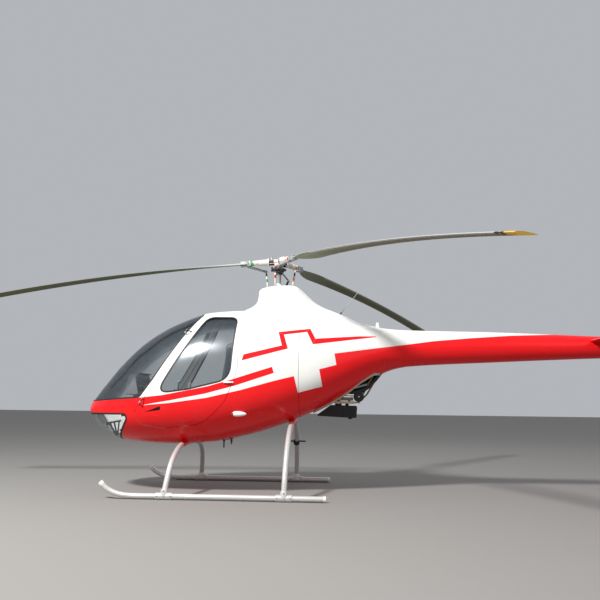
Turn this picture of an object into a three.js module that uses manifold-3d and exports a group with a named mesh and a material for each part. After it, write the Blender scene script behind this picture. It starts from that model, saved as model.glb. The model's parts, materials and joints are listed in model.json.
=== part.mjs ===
// A light two-seat helicopter on skids: egg-shaped cabin, three-blade main rotor and a ducted tail rotor.
// Millimetres, +Z up, +X towards the tail, +Y to starboard. Every size below is measured from the
// point on the ground under the rotor axis; the last lines move that point to the part's own origin.
import * as THREE from "three";
import { mergeVertices } from "three/addons/utils/BufferGeometryUtils.js";
import Module from "manifold-3d";

const wasm = await Module();
wasm.setup();

// Driving dimensions
const ROTOR_RADIUS = 3600;
const NOSE_X = -1890;
const NOSE_Z = 790;
const TAIL_END_X = 4420;
const HUB_Z = 2313;
const SKID_TRACK = 1674;
const WALL = 28;
const SKIN = 7;
const GLASS = 6;
const GLASS_SINK = 3;
const SEAT_GAP = 0.3;
const DOOR_GAP = 6;
const COWL_SEAM_X = 250;
const BOOM_SEAM_X = 1255;
const TAIL_SEAM_X = 3400;
const REFERENCE_X = (TAIL_END_X - ROTOR_RADIUS) / 2;

// Hull sections: station, top, bottom, height of greatest width, half width, roundness above and below
const HULL = [
  [-1860, 855, 708, 790, 155, 2.0, 2.0],
  [-1810, 915, 630, 785, 255, 2.0, 2.0],
  [-1700, 1065, 550, 785, 365, 2.0, 2.1],
  [-1550, 1250, 487, 800, 462, 2.05, 2.2],
  [-1295, 1488, 458, 840, 562, 2.1, 2.3],
  [-1000, 1657, 449, 900, 610, 2.2, 2.35],
  [-650, 1770, 470, 950, 620, 2.25, 2.35],
  [-333, 1790, 530, 1000, 610, 2.25, 2.3],
  [0, 1770, 625, 1060, 575, 2.2, 2.25],
  [350, 1735, 768, 1140, 500, 2.15, 2.2],
  [650, 1690, 920, 1240, 400, 2.1, 2.1],
  [850, 1655, 1045, 1315, 320, 2.05, 2.05],
  [1000, 1632, 1131, 1360, 262, 2.0, 2.0],
  [1160, 1612, 1204, 1400, 210, 2.0, 2.0],
  [1310, 1603, 1236, 1420, 184, 2.0, 2.0],
  [2150, 1588, 1285, 1436.5, 151.5, 2.0, 2.0],
  [3220, 1552, 1335, 1443.5, 108.5, 2.0, 2.0],
  [3700, 1536, 1352, 1444, 92, 2.0, 2.0],
];

// Materials, by the part's colours
const material = (colour, roughness, metalness, opacity = 1) =>
  new THREE.MeshStandardMaterial({ color: colour, roughness, metalness, opacity,
    transparent: opacity < 1 });
const PAINT_RED = material(0xd81f26, 0.25, 0);
const PAINT_WHITE = material(0xf2f1ea, 0.25, 0);
const GLAZING = material(0x8fa0a6, 0.05, 0, 0.35);
const BLADE_PAINT = material(0x6d715a, 0.4, 0);
const SILVER = material(0xc9cbcc, 0.35, 0.7);
const DARK_METAL = material(0x26282b, 0.5, 0.6);
const BLACK = material(0x121212, 0.6, 0);
const GREY_TRIM = material(0x5d6165, 0.7, 0);
const CLOTH = material(0x33363b, 0.9, 0);
const LENS = material(0xe8d8d0, 0.1, 0);

// Solids: three.js geometry in, joined and cut by manifold-3d, three.js geometry out
function solid(geometry) {
  const bare = geometry.index ? geometry.toNonIndexed() : geometry.clone();
  bare.deleteAttribute("normal");
  bare.deleteAttribute("uv");
  const merged = mergeVertices(bare, 1e-3);
  const made = new wasm.Manifold(
    new wasm.Mesh({
      numProp: 3,
      vertProperties: merged.attributes.position.array,
      triVerts: new Uint32Array(merged.index.array),
    }),
  );
  if (made.isEmpty()) throw new Error("an empty solid");
  return made;
}

function geometryOf(manifold) {
  const { numProp, vertProperties, triVerts, numVert } = manifold.getMesh();
  const positions = new Float32Array(numVert * 3);
  for (let i = 0; i < numVert; i++) positions.set(vertProperties.subarray(i * numProp, i * numProp + 3),
    i * 3);
  const geometry = new THREE.BufferGeometry();
  geometry.setAttribute("position", new THREE.BufferAttribute(positions, 3));
  geometry.setIndex(new THREE.BufferAttribute(triVerts, 1));
  geometry.computeVertexNormals();
  return geometry;
}

const union = (...solids) => solids.reduce((whole, piece) => whole.add(piece));
const placed = (geometry, x, y, z) => solid(geometry.translate(x, y, z));
const box = (x0, x1, y0, y1, z0, z1) =>
  placed(new THREE.BoxGeometry(x1 - x0, y1 - y0, z1 - z0), (x0 + x1) / 2, (y0 + y1) / 2, (z0 + z1) / 2);
const mirrored = (manifold) => manifold.mirror([0, 1, 0]);

function rodBetween(from, to, radius, segments = 12) {
  const a = new THREE.Vector3(...from);
  const b = new THREE.Vector3(...to);
  const rod = new THREE.CylinderGeometry(radius, radius, a.distanceTo(b), segments);
  const turn = new THREE.Quaternion().setFromUnitVectors(new THREE.Vector3(0, 1, 0),
    b.clone().sub(a).normalize());
  const middle = a.add(b).multiplyScalar(0.5);
  return solid(rod.applyQuaternion(turn).translate(middle.x, middle.y, middle.z));
}

function tubeAlong(points, radius, steps, sides = 10) {
  const path = new THREE.CatmullRomCurve3(points.map((p) => new THREE.Vector3(...p)), false,
    "centripetal");
  const circle = new THREE.Shape();
  circle.absarc(0, 0, radius, 0, 2 * Math.PI);
  return solid(new THREE.ExtrudeGeometry(circle, { extrudePath: path, steps, curveSegments: sides / 2 }));
}

// A closed skin over rings of equal length; each end closes on the middle of its ring
function loft(rings) {
  const count = rings[0].length;
  const positions = rings.flat().flatMap((p) => [p.x, p.y, p.z]);
  const faces = [];
  for (let r = 0; r + 1 < rings.length; r++)
    for (let i = 0; i < count; i++) {
      const [a, b] = [r * count + i, r * count + ((i + 1) % count)];
      faces.push(a, b, a + count, b, b + count, a + count);
    }
  for (const [ring, flip] of [[0, false], [rings.length - 1, true]]) {
    const middle = new THREE.Vector3();
    rings[ring].forEach((p) => middle.addScaledVector(p, 1 / count));
    positions.push(middle.x, middle.y, middle.z);
    const centre = positions.length / 3 - 1;
    for (let i = 0; i < count; i++) {
      const [a, b] = [ring * count + i, ring * count + ((i + 1) % count)];
      faces.push(...(flip ? [centre, a, b] : [centre, b, a]));
    }
  }
  const geometry = new THREE.BufferGeometry();
  geometry.setAttribute("position", new THREE.Float32BufferAttribute(positions, 3));
  geometry.setIndex(faces);
  const made = solid(geometry);
  return made.volume() > 0 ? made : solid(flipped(geometry));
}

function flipped(geometry) {
  const index = geometry.index.array;
  for (let i = 0; i < index.length; i += 3) [index[i + 1], index[i + 2]] = [index[i + 2], index[i + 1]];
  return geometry;
}

// Smooth curve through a table column that never overshoots it
function monotoneCurve(xs, ys) {
  const slope = xs.slice(1).map((x, i) => (ys[i + 1] - ys[i]) / (x - xs[i]));
  const tangent = xs.map((_, i) => {
    if (i === 0) return slope[0];
    if (i === xs.length - 1) return slope[i - 1];
    const [before, after] = [slope[i - 1], slope[i]];
    return before * after <= 0 ? 0 : (2 * before * after) / (before + after);
  });
  return (x) => {
    let i = 0;
    while (i < xs.length - 2 && x > xs[i + 1]) i++;
    const h = xs[i + 1] - xs[i];
    const t = (x - xs[i]) / h;
    const [t2, t3] = [t * t, t * t * t];
    return (
      (2 * t3 - 3 * t2 + 1) * ys[i] +
      (t3 - 2 * t2 + t) * h * tangent[i] +
      (3 * t2 - 2 * t3) * ys[i + 1] +
      (t3 - t2) * h * tangent[i + 1]
    );
  };
}

// The hull's stations are spread by the root of their distance from the nose, which keeps the nose round
const stationOf = (x) => Math.sqrt(Math.max(x - NOSE_X, 0));
const hullStations = [0, ...HULL.map((row) => stationOf(row[0]))];
const hullColumns = [NOSE_Z, NOSE_Z, NOSE_Z, 0, 2, 2].map((atNose, column) =>
  monotoneCurve(hullStations, [atNose, ...HULL.map((row) => row[column + 1])]),
);

function hullPoint(station, angle) {
  const [top, bottom, wide, half, above, below] = hullColumns.map((column) => column(station));
  const [c, s] = [Math.cos(angle), Math.sin(angle)];
  const power = 2 / (s > 0 ? above : below);
  const rise = s > 0 ? top - wide : wide - bottom;
  return new THREE.Vector3(
    NOSE_X + station * station,
    half * Math.sign(c) * Math.abs(c) ** power,
    wide + rise * Math.sign(s) * Math.abs(s) ** power,
  );
}

// The same point moved inwards along the skin's own normal
function hullPointInside(station, angle, depth) {
  const point = hullPoint(station, angle);
  if (depth === 0) return point;
  const step = 1e-3;
  const along = hullPoint(station + step * 10, angle).sub(hullPoint(Math.max(station - step * 10, 0.01),
    angle));
  const around = hullPoint(station, angle + step).sub(hullPoint(station, angle - step));
  return point.addScaledVector(along.cross(around).normalize(), depth);
}

function hull(depth, stations = 22, around = 24, endX = 1320) {
  const rings = [];
  const [first, last] = [1.6, stationOf(endX)];
  for (let r = 0; r <= stations; r++) {
    const station = first + ((last - first) * r) / stations;
    const ring = [];
    for (let i = 0; i < around; i++)
      ring.push(hullPointInside(station, ((i + 0.5) / around) * 2 * Math.PI, depth));
    rings.push(ring);
  }
  return loft(rings);
}

// Outlines seen from the side, as x and z. A corner is an arc of the radius given with its point.
function roundedOutline(corners, arcSteps = 4) {
  const outline = [];
  corners.forEach(([x, z, radius = 0], i) => {
    const here = new THREE.Vector2(x, z);
    const before = new THREE.Vector2(...corners.at(i - 1)).sub(here);
    const after = new THREE.Vector2(...corners[(i + 1) % corners.length]).sub(here);
    const half = Math.acos(before.clone().normalize().dot(after.clone().normalize())) / 2;
    if (!radius) return outline.push(here);
    const reach = Math.min(radius / Math.tan(half), before.length() / 2, after.length() / 2);
    const start = here.clone().addScaledVector(before.normalize(), reach);
    const end = here.clone().addScaledVector(after.normalize(), reach);
    const curve = new THREE.QuadraticBezierCurve(start, here, end);
    outline.push(...curve.getPoints(arcSteps));
  });
  return outline;
}

function grown(outline, distance) {
  const turn = Math.sign(THREE.ShapeUtils.area(outline));
  return outline.map((point, i) => {
    const before = point.clone().sub(outline.at(i - 1)).normalize();
    const after = outline[(i + 1) % outline.length].clone().sub(point).normalize();
    const bisector = before.add(after).normalize();
    const spread = Math.max(0.4, bisector.dot(after));
    const outward = new THREE.Vector2(bisector.y, -bisector.x).multiplyScalar(turn);
    return point.clone().addScaledVector(outward, distance / spread);
  });
}

function sidePrism(outline, y0, y1) {
  const slab = new THREE.ExtrudeGeometry(new THREE.Shape(outline),
    { depth: y1 - y0, bevelEnabled: false });
  return solid(slab.rotateX(Math.PI / 2).translate(0, y1, 0));
}

// An outline seen from above, as x and y, stood up between two heights
const planPrism = (outline, z0, z1) =>
  solid(new THREE.ExtrudeGeometry(new THREE.Shape(outline), { depth: z1 - z0,
    bevelEnabled: false }).translate(0, 0, z0));

// Door, windows and windscreen as they run over the hull
const DOOR_OUTLINE = roundedOutline([
  [-1224, 862, 20],
  [-1322, 735, 130],
  [-1225, 640, 90],
  [-1020, 612, 200],
  [-640, 650, 400],
  [-425, 870, 300],
  [-318, 1160, 220],
  [-318, 1712, 60],
  [-690, 1712, 40],
]);
const WINDOW_OUTLINE = roundedOutline([
  [-1092, 928, 75],
  [-775, 974, 500],
  [-385, 1072, 170],
  [-352, 1690, 75],
  [-655, 1696, 110],
  [-912, 1255, 0],
]);
const WINDSCREEN_OUTLINE = roundedOutline([
  [-2100, 838],
  [-1250, 893, 60],
  [-1121, 1070, 0],
  [-869, 1482, 200],
  [-722, 1712, 0],
  [-800, 1900],
  [-2100, 1900],
]);
const CHIN_OUTLINE = roundedOutline([
  [-2100, 745],
  [-1385, 749, 50],
  [-1372, 690, 40],
  [-1440, 590, 200],
  [-1560, 420],
  [-2100, 420],
]);
const KEEL_HALF = 70;
const CABIN_BACK_X = -290;
const BULKHEAD = 40;

const outerHull = hull(0);
const skinHull = hull(SKIN);
const innerHull = hull(WALL);
const frontOf = (x) => box(-2200, x, -900, 900, 0, 2300);
const behind = (x) => box(x, 5200, -900, 900, 0, 2300);
const bothSides = (outline, from, to) => union(sidePrism(outline, from, to),
  sidePrism(outline, -to, -from));

// Landing gear: one bow through the belly at each end and two skids
const GEAR_BOWS = [
  // x at the skid, x at the belly, then half the bow as y and z, from the skid to the belly
  { name: "cross_tube_front", footX: -909, topX: -867, half: [[837, 62], [802, 160], [735, 285],
    [655, 358], [540, 415], [400, 452], [220, 472]], top: 478 },
  { name: "cross_tube_rear", footX: 155, topX: 172, half: [[837, 62], [803, 200], [730, 360], [620, 490],
    [470, 590], [300, 650], [160, 676]], top: 688 },
];
const BOW_RADIUS = 25;
const SKID_RADIUS = 24;
const SKID_Z = 31;

function bowPoints({ footX, topX, half, top }) {
  const xAt = (z) => footX + ((topX - footX) * (z - half[0][1])) / (top - half[0][1]);
  const side = half.map(([y, z]) => [xAt(z), y, z]);
  return [...side.map(([x, y, z]) => [x, -y, z]), [topX, 0, top], ...side.reverse()];
}
const bow = (gear, radius) => tubeAlong(bowPoints(gear), radius, 26, 8);

function skid(side) {
  const y = (side * SKID_TRACK) / 2;
  const path = [[525, y, SKID_Z], [0, y, SKID_Z], [-700, y, SKID_Z], [-1210, y, SKID_Z], [-1330, y, 46],
    [-1420, y, 84], [-1490, y, 140]];
  const shoe = box(-1190, 500, y - 11, y + 11, 0, 12);
  const saddles = GEAR_BOWS.map(({ footX }) => {
    const sleeve = rodBetween([footX - 75, y, SKID_Z + 1], [footX + 75, y, SKID_Z + 1], SKID_RADIUS + 7,
      10);
    const socket = rodBetween([footX, y, SKID_Z], [footX, y * 0.995, 92], BOW_RADIUS + 7, 10);
    return sleeve.add(socket);
  });
  const sockets = GEAR_BOWS.map((gear) => bow(gear, BOW_RADIUS + SEAT_GAP));
  return union(tubeAlong(path, SKID_RADIUS, 16, 8), shoe, ...saddles).subtract(union(...sockets));
}

// Fuselage shells
const bowHoles = union(...GEAR_BOWS.map((gear) => bow(gear, BOW_RADIUS + SEAT_GAP)));
const doorHole = (side) => sidePrism(DOOR_OUTLINE, ...(side < 0 ? [-900, -150] : [150, 900]));
// The belly's opening seen from above: half of its outline, then the whole with a lip round its edge
const ENGINE_OPENING_HALF = [[375, 62, 40], [500, 88, 200], [840, 168, 160], [975, 160, 60],
  [1035, 96, 50]];
const ENGINE_OPENING = roundedOutline(
  [...ENGINE_OPENING_HALF, ...ENGINE_OPENING_HALF.toReversed().map(([x, y, radius]) => [x, -y, radius])],
  2,
);
const OPENING_TOP_Z = 1300;
const LIP = { wall: 6, below: 14 };
const engineHole = planPrism(ENGINE_OPENING, 500, OPENING_TOP_Z);
function engineOpeningLip() {
  const ring = planPrism(grown(ENGINE_OPENING, 2), 500, OPENING_TOP_Z).subtract(
    planPrism(grown(ENGINE_OPENING, -LIP.wall), 400, OPENING_TOP_Z + 100),
  );
  return ring.intersect(hull(-LIP.below)).subtract(innerHull);
}
const landingLampSeat = rodBetween([-1900, 0, 560], [-1640, 0, 620], 46 + SEAT_GAP, 20);

function cabinHull() {
  const cabin = innerHull.intersect(frontOf(CABIN_BACK_X));
  const engineBay = innerHull.intersect(behind(CABIN_BACK_X + BULKHEAD));
  const windscreenHole = sidePrism(WINDSCREEN_OUTLINE, -800, 800);
  return outerHull
    .intersect(frontOf(COWL_SEAM_X - SEAT_GAP))
    .subtract(union(cabin, engineBay, windscreenHole, bothSides(CHIN_OUTLINE, KEEL_HALF, 800)))
    .subtract(union(doorHole(-1), doorHole(1), bowHoles, landingLampSeat, mastFairing(SEAT_GAP)))
    .add(union(hingeHalf(-1, false), hingeHalf(1, false)).subtract(innerHull));
}

function engineCowl() {
  const shell = outerHull.intersect(behind(COWL_SEAM_X)).intersect(frontOf(BOOM_SEAM_X - SEAT_GAP));
  const bay = innerHull.intersect(frontOf(BOOM_SEAM_X - BULKHEAD));
  return shell.subtract(union(bay, engineHole, bowHoles, mastFairing(SEAT_GAP))).add(engineOpeningLip());
}

// Mast fairing: level sections as height, front, back, half width. Above FAIRING_TILT.from its top leans
// up aft.
const FAIRING = [
  [1600, -470, 1130, 330],
  [1640, -440, 985, 318],
  [1683, -410, 812, 300],
  [1731, -385, 715, 276],
  [1790, -340, 568, 246],
  [1820, -277, 490, 236],
  [1866, -223, 402, 226],
  [1911, -205, 345, 218],
  [1950, -201, 297, 211],
  [1985, -199, 255, 205],
  [2008, -194, 226, 198],
  [2022, -182, 207, 189],
  [2029, -160, 188, 176],
];
const FAIRING_TILT = { slope: 0.08, from: 1900 };
function mastFairing(grow = 0) {
  const around = 32;
  const topRow = FAIRING.length - 1;
  const rings = FAIRING.map(([z, front, back, half], row) => {
    const lean = (FAIRING_TILT.slope * Math.max(0,
      z - FAIRING_TILT.from)) / (FAIRING[topRow][0] - FAIRING_TILT.from);
    return Array.from({ length: around }, (_, i) => {
      const angle = (i / around) * 2 * Math.PI;
      const [c, s] = [Math.cos(angle), Math.sin(angle)];
      const reach = c > 0 ? back : -front;
      const x = Math.sign(c) * Math.abs(c) ** 0.85 * (reach + grow);
      const y = Math.sign(s) * Math.abs(s) ** 0.85 * (half + grow);
      return new THREE.Vector3(x, y, z + lean * x + (row === topRow ? grow : 0));
    });
  });
  return loft(rings);
}
const WELL = { floor: 1900, radius: 165 };
const mastFairingShell = () =>
  mastFairing()
    .subtract(hull(SKIN + 4))
    .subtract(rodBetween([0, 0, WELL.floor], [0, 0, 2200], WELL.radius, 28));

// Glazing
const pane = (outline, from, to) =>
  hull(GLASS_SINK).subtract(hull(GLASS_SINK + GLASS)).intersect(sidePrism(grown(outline, -SEAT_GAP), from,
    to));
const windscreen = () => pane(WINDSCREEN_OUTLINE, -800, 800).intersect(frontOf(-600));
const chinWindow = (side) =>
  side < 0 ? pane(CHIN_OUTLINE, -800, -KEEL_HALF - SEAT_GAP) : pane(CHIN_OUTLINE, KEEL_HALF + SEAT_GAP,
    800);
const sideSpan = (side) => (side < 0 ? [-900, -150] : [150, 900]);

function door(side) {
  const span = sideSpan(side);
  const skin = outerHull.subtract(skinHull).intersect(sidePrism(grown(DOOR_OUTLINE, -DOOR_GAP), ...span));
  const frame = hull(SKIN - 1).subtract(innerHull).intersect(sidePrism(grown(DOOR_OUTLINE,
    -DOOR_GAP - 30), ...span));
  const hinges = hingeHalf(side, true).subtract(innerHull);
  return skin.add(frame).subtract(sidePrism(WINDOW_OUTLINE, ...span)).add(hinges);
}
const doorWindow = (side) => pane(WINDOW_OUTLINE, ...sideSpan(side));
// Each hinge is two short barrels on one axis that stands off the skin, so that the door's rounded edge
// clears the post
const HINGE_AXIS = [[-1237, 622, 839], [-825, 472, 1570]];
const HINGE_BARREL = 18;
const HINGE_FEET = [
  { alongAxis: 30, door: [-1180, 556, 890], post: [-1262, 548, 833] },
  { alongAxis: -40, door: [-776, 425, 1530], post: [-843, 430, 1500] },
];
function hingeHalf(side, onDoor) {
  const [low, high] = HINGE_AXIS.map(([x, y, z]) => new THREE.Vector3(x, side * y, z));
  const along = high.clone().sub(low).normalize();
  const sign = onDoor ? 1 : -1;
  return union(
    ...HINGE_FEET.map((foot, i) => {
      const middle = [low, high][i].clone().addScaledVector(along, foot.alongAxis);
      const near = middle.clone().addScaledVector(along, (sign * SEAT_GAP) / 2);
      const far = middle.clone().addScaledVector(along, sign * HINGE_BARREL);
      const [x, y, z] = onDoor ? foot.door : foot.post;
      const arm = rodBetween(near.clone().lerp(far, 0.6).toArray(), [x, side * y, z], 6, 8);
      return rodBetween(near.toArray(), far.toArray(), 8, 10).add(arm);
    }),
  );
}
function doorHandle(side) {
  const [y0, y1] = [590 * side, 636 * side].sort((a, b) => a - b);
  return box(-436, -356, y0, y1, 1036, 1056).subtract(hull(-SEAT_GAP));
}

// Cabin furniture
const FLOOR_Z = 590;
const insideBlank = hull(WALL + 2);
const cabinFloor = () => box(-1500, CABIN_BACK_X - SEAT_GAP, -700, 700, FLOOR_Z - 20,
  FLOOR_Z).intersect(insideBlank);

const SEAT_PROFILE = roundedOutline([
  [-860, 700, 40], [-880, 775, 30], [-470, 745, 90], [-395, 1330, 60], [-345, 1330, 40], [-330, 690, 60],
]);
const SEAT_HALF_WIDTH = 490;
const CUSHION_Y = [95, 465];
const LEVER_SLOT_Z = 600;
function seatBase() {
  const bench = sidePrism(SEAT_PROFILE, -SEAT_HALF_WIDTH, SEAT_HALF_WIDTH);
  const plinth = box(-800, -380, -380, 380, FLOOR_Z + SEAT_GAP, 712);
  const leverSlot = box(-1000, -470, -45, 45, LEVER_SLOT_Z, 1000);
  return bench.add(plinth).subtract(leverSlot).intersect(insideBlank);
}
function seatCushion(side) {
  const [y0, y1] = CUSHION_Y.map((y) => y * side).sort((a, b) => a - b);
  const pads = roundedOutline([
    [-875, 740, 10], [-865, 835, 30], [-520, 812, 50], [-462, 1300, 20], [-455, 1420, 30],
      [-390, 1420, 25],
    [-380, 1300, 5], [-440, 740, 60],
  ]);
  return sidePrism(pads, y0, y1).subtract(sidePrism(grown(SEAT_PROFILE, SEAT_GAP), y0 - 10, y1 + 10));
}

function instrumentConsole() {
  const pedestal = sidePrism(roundedOutline([[-1500, FLOOR_Z + SEAT_GAP], [-1445, 960, 40],
    [-1330, 960, 40], [-1290, FLOOR_Z + SEAT_GAP]]), -90, 90);
  const panel = sidePrism(roundedOutline([[-1490, 925, 20], [-1445, 1140, 40], [-1390, 1140, 15],
    [-1345, 925, 20]]), -270, 270);
  const tunnel = union(box(-1600, -1200, -16, 16, 500, 630), box(PEDAL_X - 16, PEDAL_X + 16, -120, 120,
    500, 630));
  return pedestal.add(panel).subtract(tunnel).intersect(insideBlank);
}

const STICKS = [-275, 275];
const CONTROL_Z = FLOOR_Z + 24;
const PEDAL_X = -1395;
const STICK_X = -1030;
function flightControls() {
  const spine = rodBetween([PEDAL_X, 0, CONTROL_Z], [-820, 0, CONTROL_Z], 12, 8);
  const bars = [[PEDAL_X, 400], [STICK_X, 300]].map(([x, half]) => rodBetween([x, -half, CONTROL_Z],
    [x, half, CONTROL_Z], 12, 8));
  const feet = [[PEDAL_X, 240], [STICK_X, 275]].flatMap(([x, y]) =>
    [-y, y].map((side) => box(x - 22, x + 22, side - 20, side + 20, FLOOR_Z + SEAT_GAP, CONTROL_Z)),
  );
  const plates = [-370, -190, 190, 370].flatMap((y) => [
    rodBetween([PEDAL_X, y, CONTROL_Z], [PEDAL_X - 45, y, 745], 8, 6),
    solid(new THREE.BoxGeometry(14, 90, 95).rotateY(0.35).translate(PEDAL_X - 48, y, 760)),
  ]);
  const sticks = STICKS.flatMap((y) => [
    tubeAlong([[STICK_X, y, CONTROL_Z], [-1050, y, 780], [-1000, y, 880], [-965, y, 960]], 12, 6, 6),
    rodBetween([-967, y, 955], [-950, y, 1060], 19, 8),
  ]);
  return union(spine, ...bars, ...feet, ...plates, ...sticks).intersect(insideBlank);
}

function collectiveLever() {
  const pivot = rodBetween([-520, -30, 640], [-520, 30, 640], 16, 10);
  const foot = box(-540, -500, -22, 22, LEVER_SLOT_Z + SEAT_GAP, 640);
  const lever = rodBetween([-520, 0, 640], [-790, 0, 880], 13, 8);
  const grip = rodBetween([-760, 0, 857], [-860, 0, 934], 20, 8);
  return union(pivot, foot, lever, grip);
}

// Engine bay
const engineSpace = (grow) =>
  union(
    box(-180 - grow, 420 + grow, -230 - grow, 230 + grow, 800 - grow, 1130 + grow),
    box(-60 - grow, 300 + grow, -330 - grow, 330 + grow, 840 - grow, 1080 + grow),
  );
const engineBlock = () => {
  const lugs = [-180, 180].map((y) => box(CABIN_BACK_X + BULKHEAD + SEAT_GAP, -150, y - 25, y + 25, 900,
    960));
  return union(engineSpace(0), ...lugs).intersect(hull(WALL + 6));
};
// Height of the sheet that the silencer hangs from, its thickness and the drum that stands on its tongue
const MOUNT_PLATE = { z: 868, thickness: 12 };
const AIR_DRUM = { x: 825, radius: 52, half: 70 };
function engineMounts() {
  // One side: upper and lower joint behind the engine, the knee of the lower leg and the seat on the
  // boom's bulkhead
  const [upper, lower, knee, seat] = [[445, 190, 1100], [445, 120, 925], [915, 70, 1058],
    [1195, 80, 1320]];
  const other = ([x, y, z]) => [x, -y, z];
  const onLeg = [0, 1, 2].map((axis) => upper[axis] + (seat[axis] - upper[axis]) * 0.8);
  const pads = [upper, lower].map(([x, y, z]) => box(420 + SEAT_GAP, x, y - 24, y + 24, z - 24, z + 24));
  const seatPad = box(1190, BOOM_SEAM_X - BULKHEAD - SEAT_GAP, seat[1] - 24, seat[1] + 24, seat[2] - 24,
    seat[2] + 24);
  const side = union(
    rodBetween(upper, seat, 14, 8),
    rodBetween(lower, knee, 11, 8),
    rodBetween(knee, onLeg, 11, 8),
    rodBetween(upper, lower, 12, 8),
    rodBetween([640, 84, 874], [640, 99, 980], 9, 8),
    ...pads,
    seatPad,
  );
  const crossbar = rodBetween(lower, other(lower), 11, 8);
  const plateTop = MOUNT_PLATE.z + MOUNT_PLATE.thickness;
  const plate = box(580, 790, -95, 95, MOUNT_PLATE.z, plateTop);
  const tongue = box(780, AIR_DRUM.x + 15, -30, 30, MOUNT_PLATE.z, plateTop);
  const tray = box(600, 770, -85, 85, 893, 925);
  const spacers = [620, 730].flatMap((x) => [-50, 50].map((y) => box(x - 10, x + 10, y - 10, y + 10,
    plateTop - 2, 895)));
  return union(side, mirrored(side), crossbar, plate, tongue, tray, ...spacers);
}
function silencer() {
  const shell = sidePrism(roundedOutline([[408, 743, 8], [548, 845, 10], [806, 838, 16], [798, 725, 16]]),
    -95, 95);
  const necks = [[622, -52, 32], [708, 52, 16]].map(([x, y, radius]) =>
    rodBetween([x, y, 838], [x, y, MOUNT_PLATE.z - SEAT_GAP], radius, 14),
  );
  return union(shell, ...necks);
}
// The cooling air's drum on the plate's tongue, and the hose from it up to the bulkhead
function airDuct() {
  const z = MOUNT_PLATE.z + MOUNT_PLATE.thickness + SEAT_GAP + AIR_DRUM.radius;
  const drum = rodBetween([AIR_DRUM.x, -AIR_DRUM.half, z], [AIR_DRUM.x, AIR_DRUM.half, z],
    AIR_DRUM.radius, 20);
  const route = [[845, 0, 955], [890, 0, 1030], [935, 0, 1095], [985, 0, 1178], [1060, 0, 1288],
    [1230, 0, 1335]];
  return union(drum, tubeAlong(route, 28, 10, 10)).intersect(frontOf(BOOM_SEAM_X - BULKHEAD - SEAT_GAP));
}

// Tail
function boomLoft(x0, x1, steps, grow = 0, around = 20) {
  const rings = [];
  for (let r = 0; r <= steps; r++) {
    const station = stationOf(x0 + ((x1 - x0) * r) / steps);
    rings.push(Array.from({ length: around }, (_, i) => hullPointInside(station,
      (i / around) * 2 * Math.PI, -grow)));
  }
  return loft(rings);
}
const BOOM_WALL = 8;
const tailBoom = () =>
  boomLoft(BOOM_SEAM_X, TAIL_SEAM_X - SEAT_GAP, 8).subtract(boomLoft(BOOM_SEAM_X - 5, TAIL_SEAM_X - 60, 8,
    -BOOM_WALL));
const DUCT = { x: 3950, z: 1430, radius: 305 };
// Level sections of the tail shroud and fin: height, leading edge, trailing edge, half thickness
const FIN = [
  [1020, 3820, 4130, 18],
  [1045, 3755, 4205, 38],
  [1100, 3655, 4268, 60],
  [1200, 3558, 4315, 88],
  [1310, 3505, 4342, 106],
  [1430, 3485, 4352, 115],
  [1550, 3510, 4345, 108],
  [1670, 3582, 4332, 92],
  [1770, 3690, 4328, 72],
  [1860, 3790, 4338, 56],
  [1980, 3890, 4362, 42],
  [2100, 3990, 4390, 32],
  [2195, 4068, 4412, 24],
  [2228, 4110, 4420, 12],
];
function finBody(grow = 0) {
  const around = 14;
  return loft(
    FIN.map(([z, front, back, half]) =>
      Array.from({ length: around }, (_, i) => {
        const angle = (i / around) * 2 * Math.PI;
        const along = (1 - Math.cos(angle)) / 2;
        const profile = 2.6 * Math.sqrt(along) * (1 - along) ** 0.9;
        return new THREE.Vector3(
          front - grow + (back - front + 2 * grow) * along,
          Math.sign(Math.sin(angle)) * (half + grow) * profile,
          z,
        );
      }),
    ),
  );
}
function ductCutter() {
  const { radius } = DUCT;
  const profile = [[0, -140], [radius + 32, -140], [radius + 30, -112], [radius + 12, -92], [radius, -66],
    [radius, 140], [0, 140]];
  const turned = new THREE.LatheGeometry(profile.map(([r, y]) => new THREE.Vector2(r, y)), 32);
  return placed(turned, DUCT.x, 0, DUCT.z);
}
function tailFin() {
  const cheeks = rodBetween([DUCT.x, -92, DUCT.z], [DUCT.x, 92, DUCT.z], DUCT.radius + 36, 32);
  const body = union(boomLoft(TAIL_SEAM_X, 3640, 4), finBody(), cheeks);
  return body.subtract(ductCutter());
}
const TAIL_VANES = 8;
const TAIL_VANE_PHASE = 0.625;
function tailGearbox() {
  const { x, z, radius } = DUCT;
  const casing = rodBetween([x, 22, z], [x, 92, z], 62, 24);
  const nose = rodBetween([x, 90, z], [x, 110, z], 42, 20);
  const shaft = rodBetween([x, 14 + SEAT_GAP, z], [x, 30, z], 30, 20);
  const vanes = Array.from({ length: TAIL_VANES }, (_, i) => {
    const vane = new THREE.BoxGeometry(radius - 50, 52, 7).rotateX(0.25).translate((radius + 50) / 2, 60,
      0);
    return solid(vane.rotateY(((i + TAIL_VANE_PHASE) / TAIL_VANES) * 2 * Math.PI).translate(x, 0, z));
  });
  const wall = rodBetween([x, 20, z], [x, 120, z], radius * Math.cos(Math.PI / 32) - SEAT_GAP, 96);
  return union(casing, nose, shaft, ...vanes.map((vane) => vane.intersect(wall)));
}
const TAIL_BLADES = 7;
function tailRotor() {
  const { x, z, radius } = DUCT;
  const hub = rodBetween([x, -48, z], [x, 14, z], 78, 28);
  const cap = rodBetween([x, -66, z], [x, -46, z], 44, 24);
  const blades = Array.from({ length: TAIL_BLADES }, (_, i) => {
    const blade = new THREE.BoxGeometry(radius - 8 - 60, 8,
      58).rotateX(0.6).translate((radius - 8 + 60) / 2, -18, 0);
    return solid(blade.rotateY((i / TAIL_BLADES) * 2 * Math.PI).translate(x, 0, z));
  });
  return union(hub, cap, ...blades);
}
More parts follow.
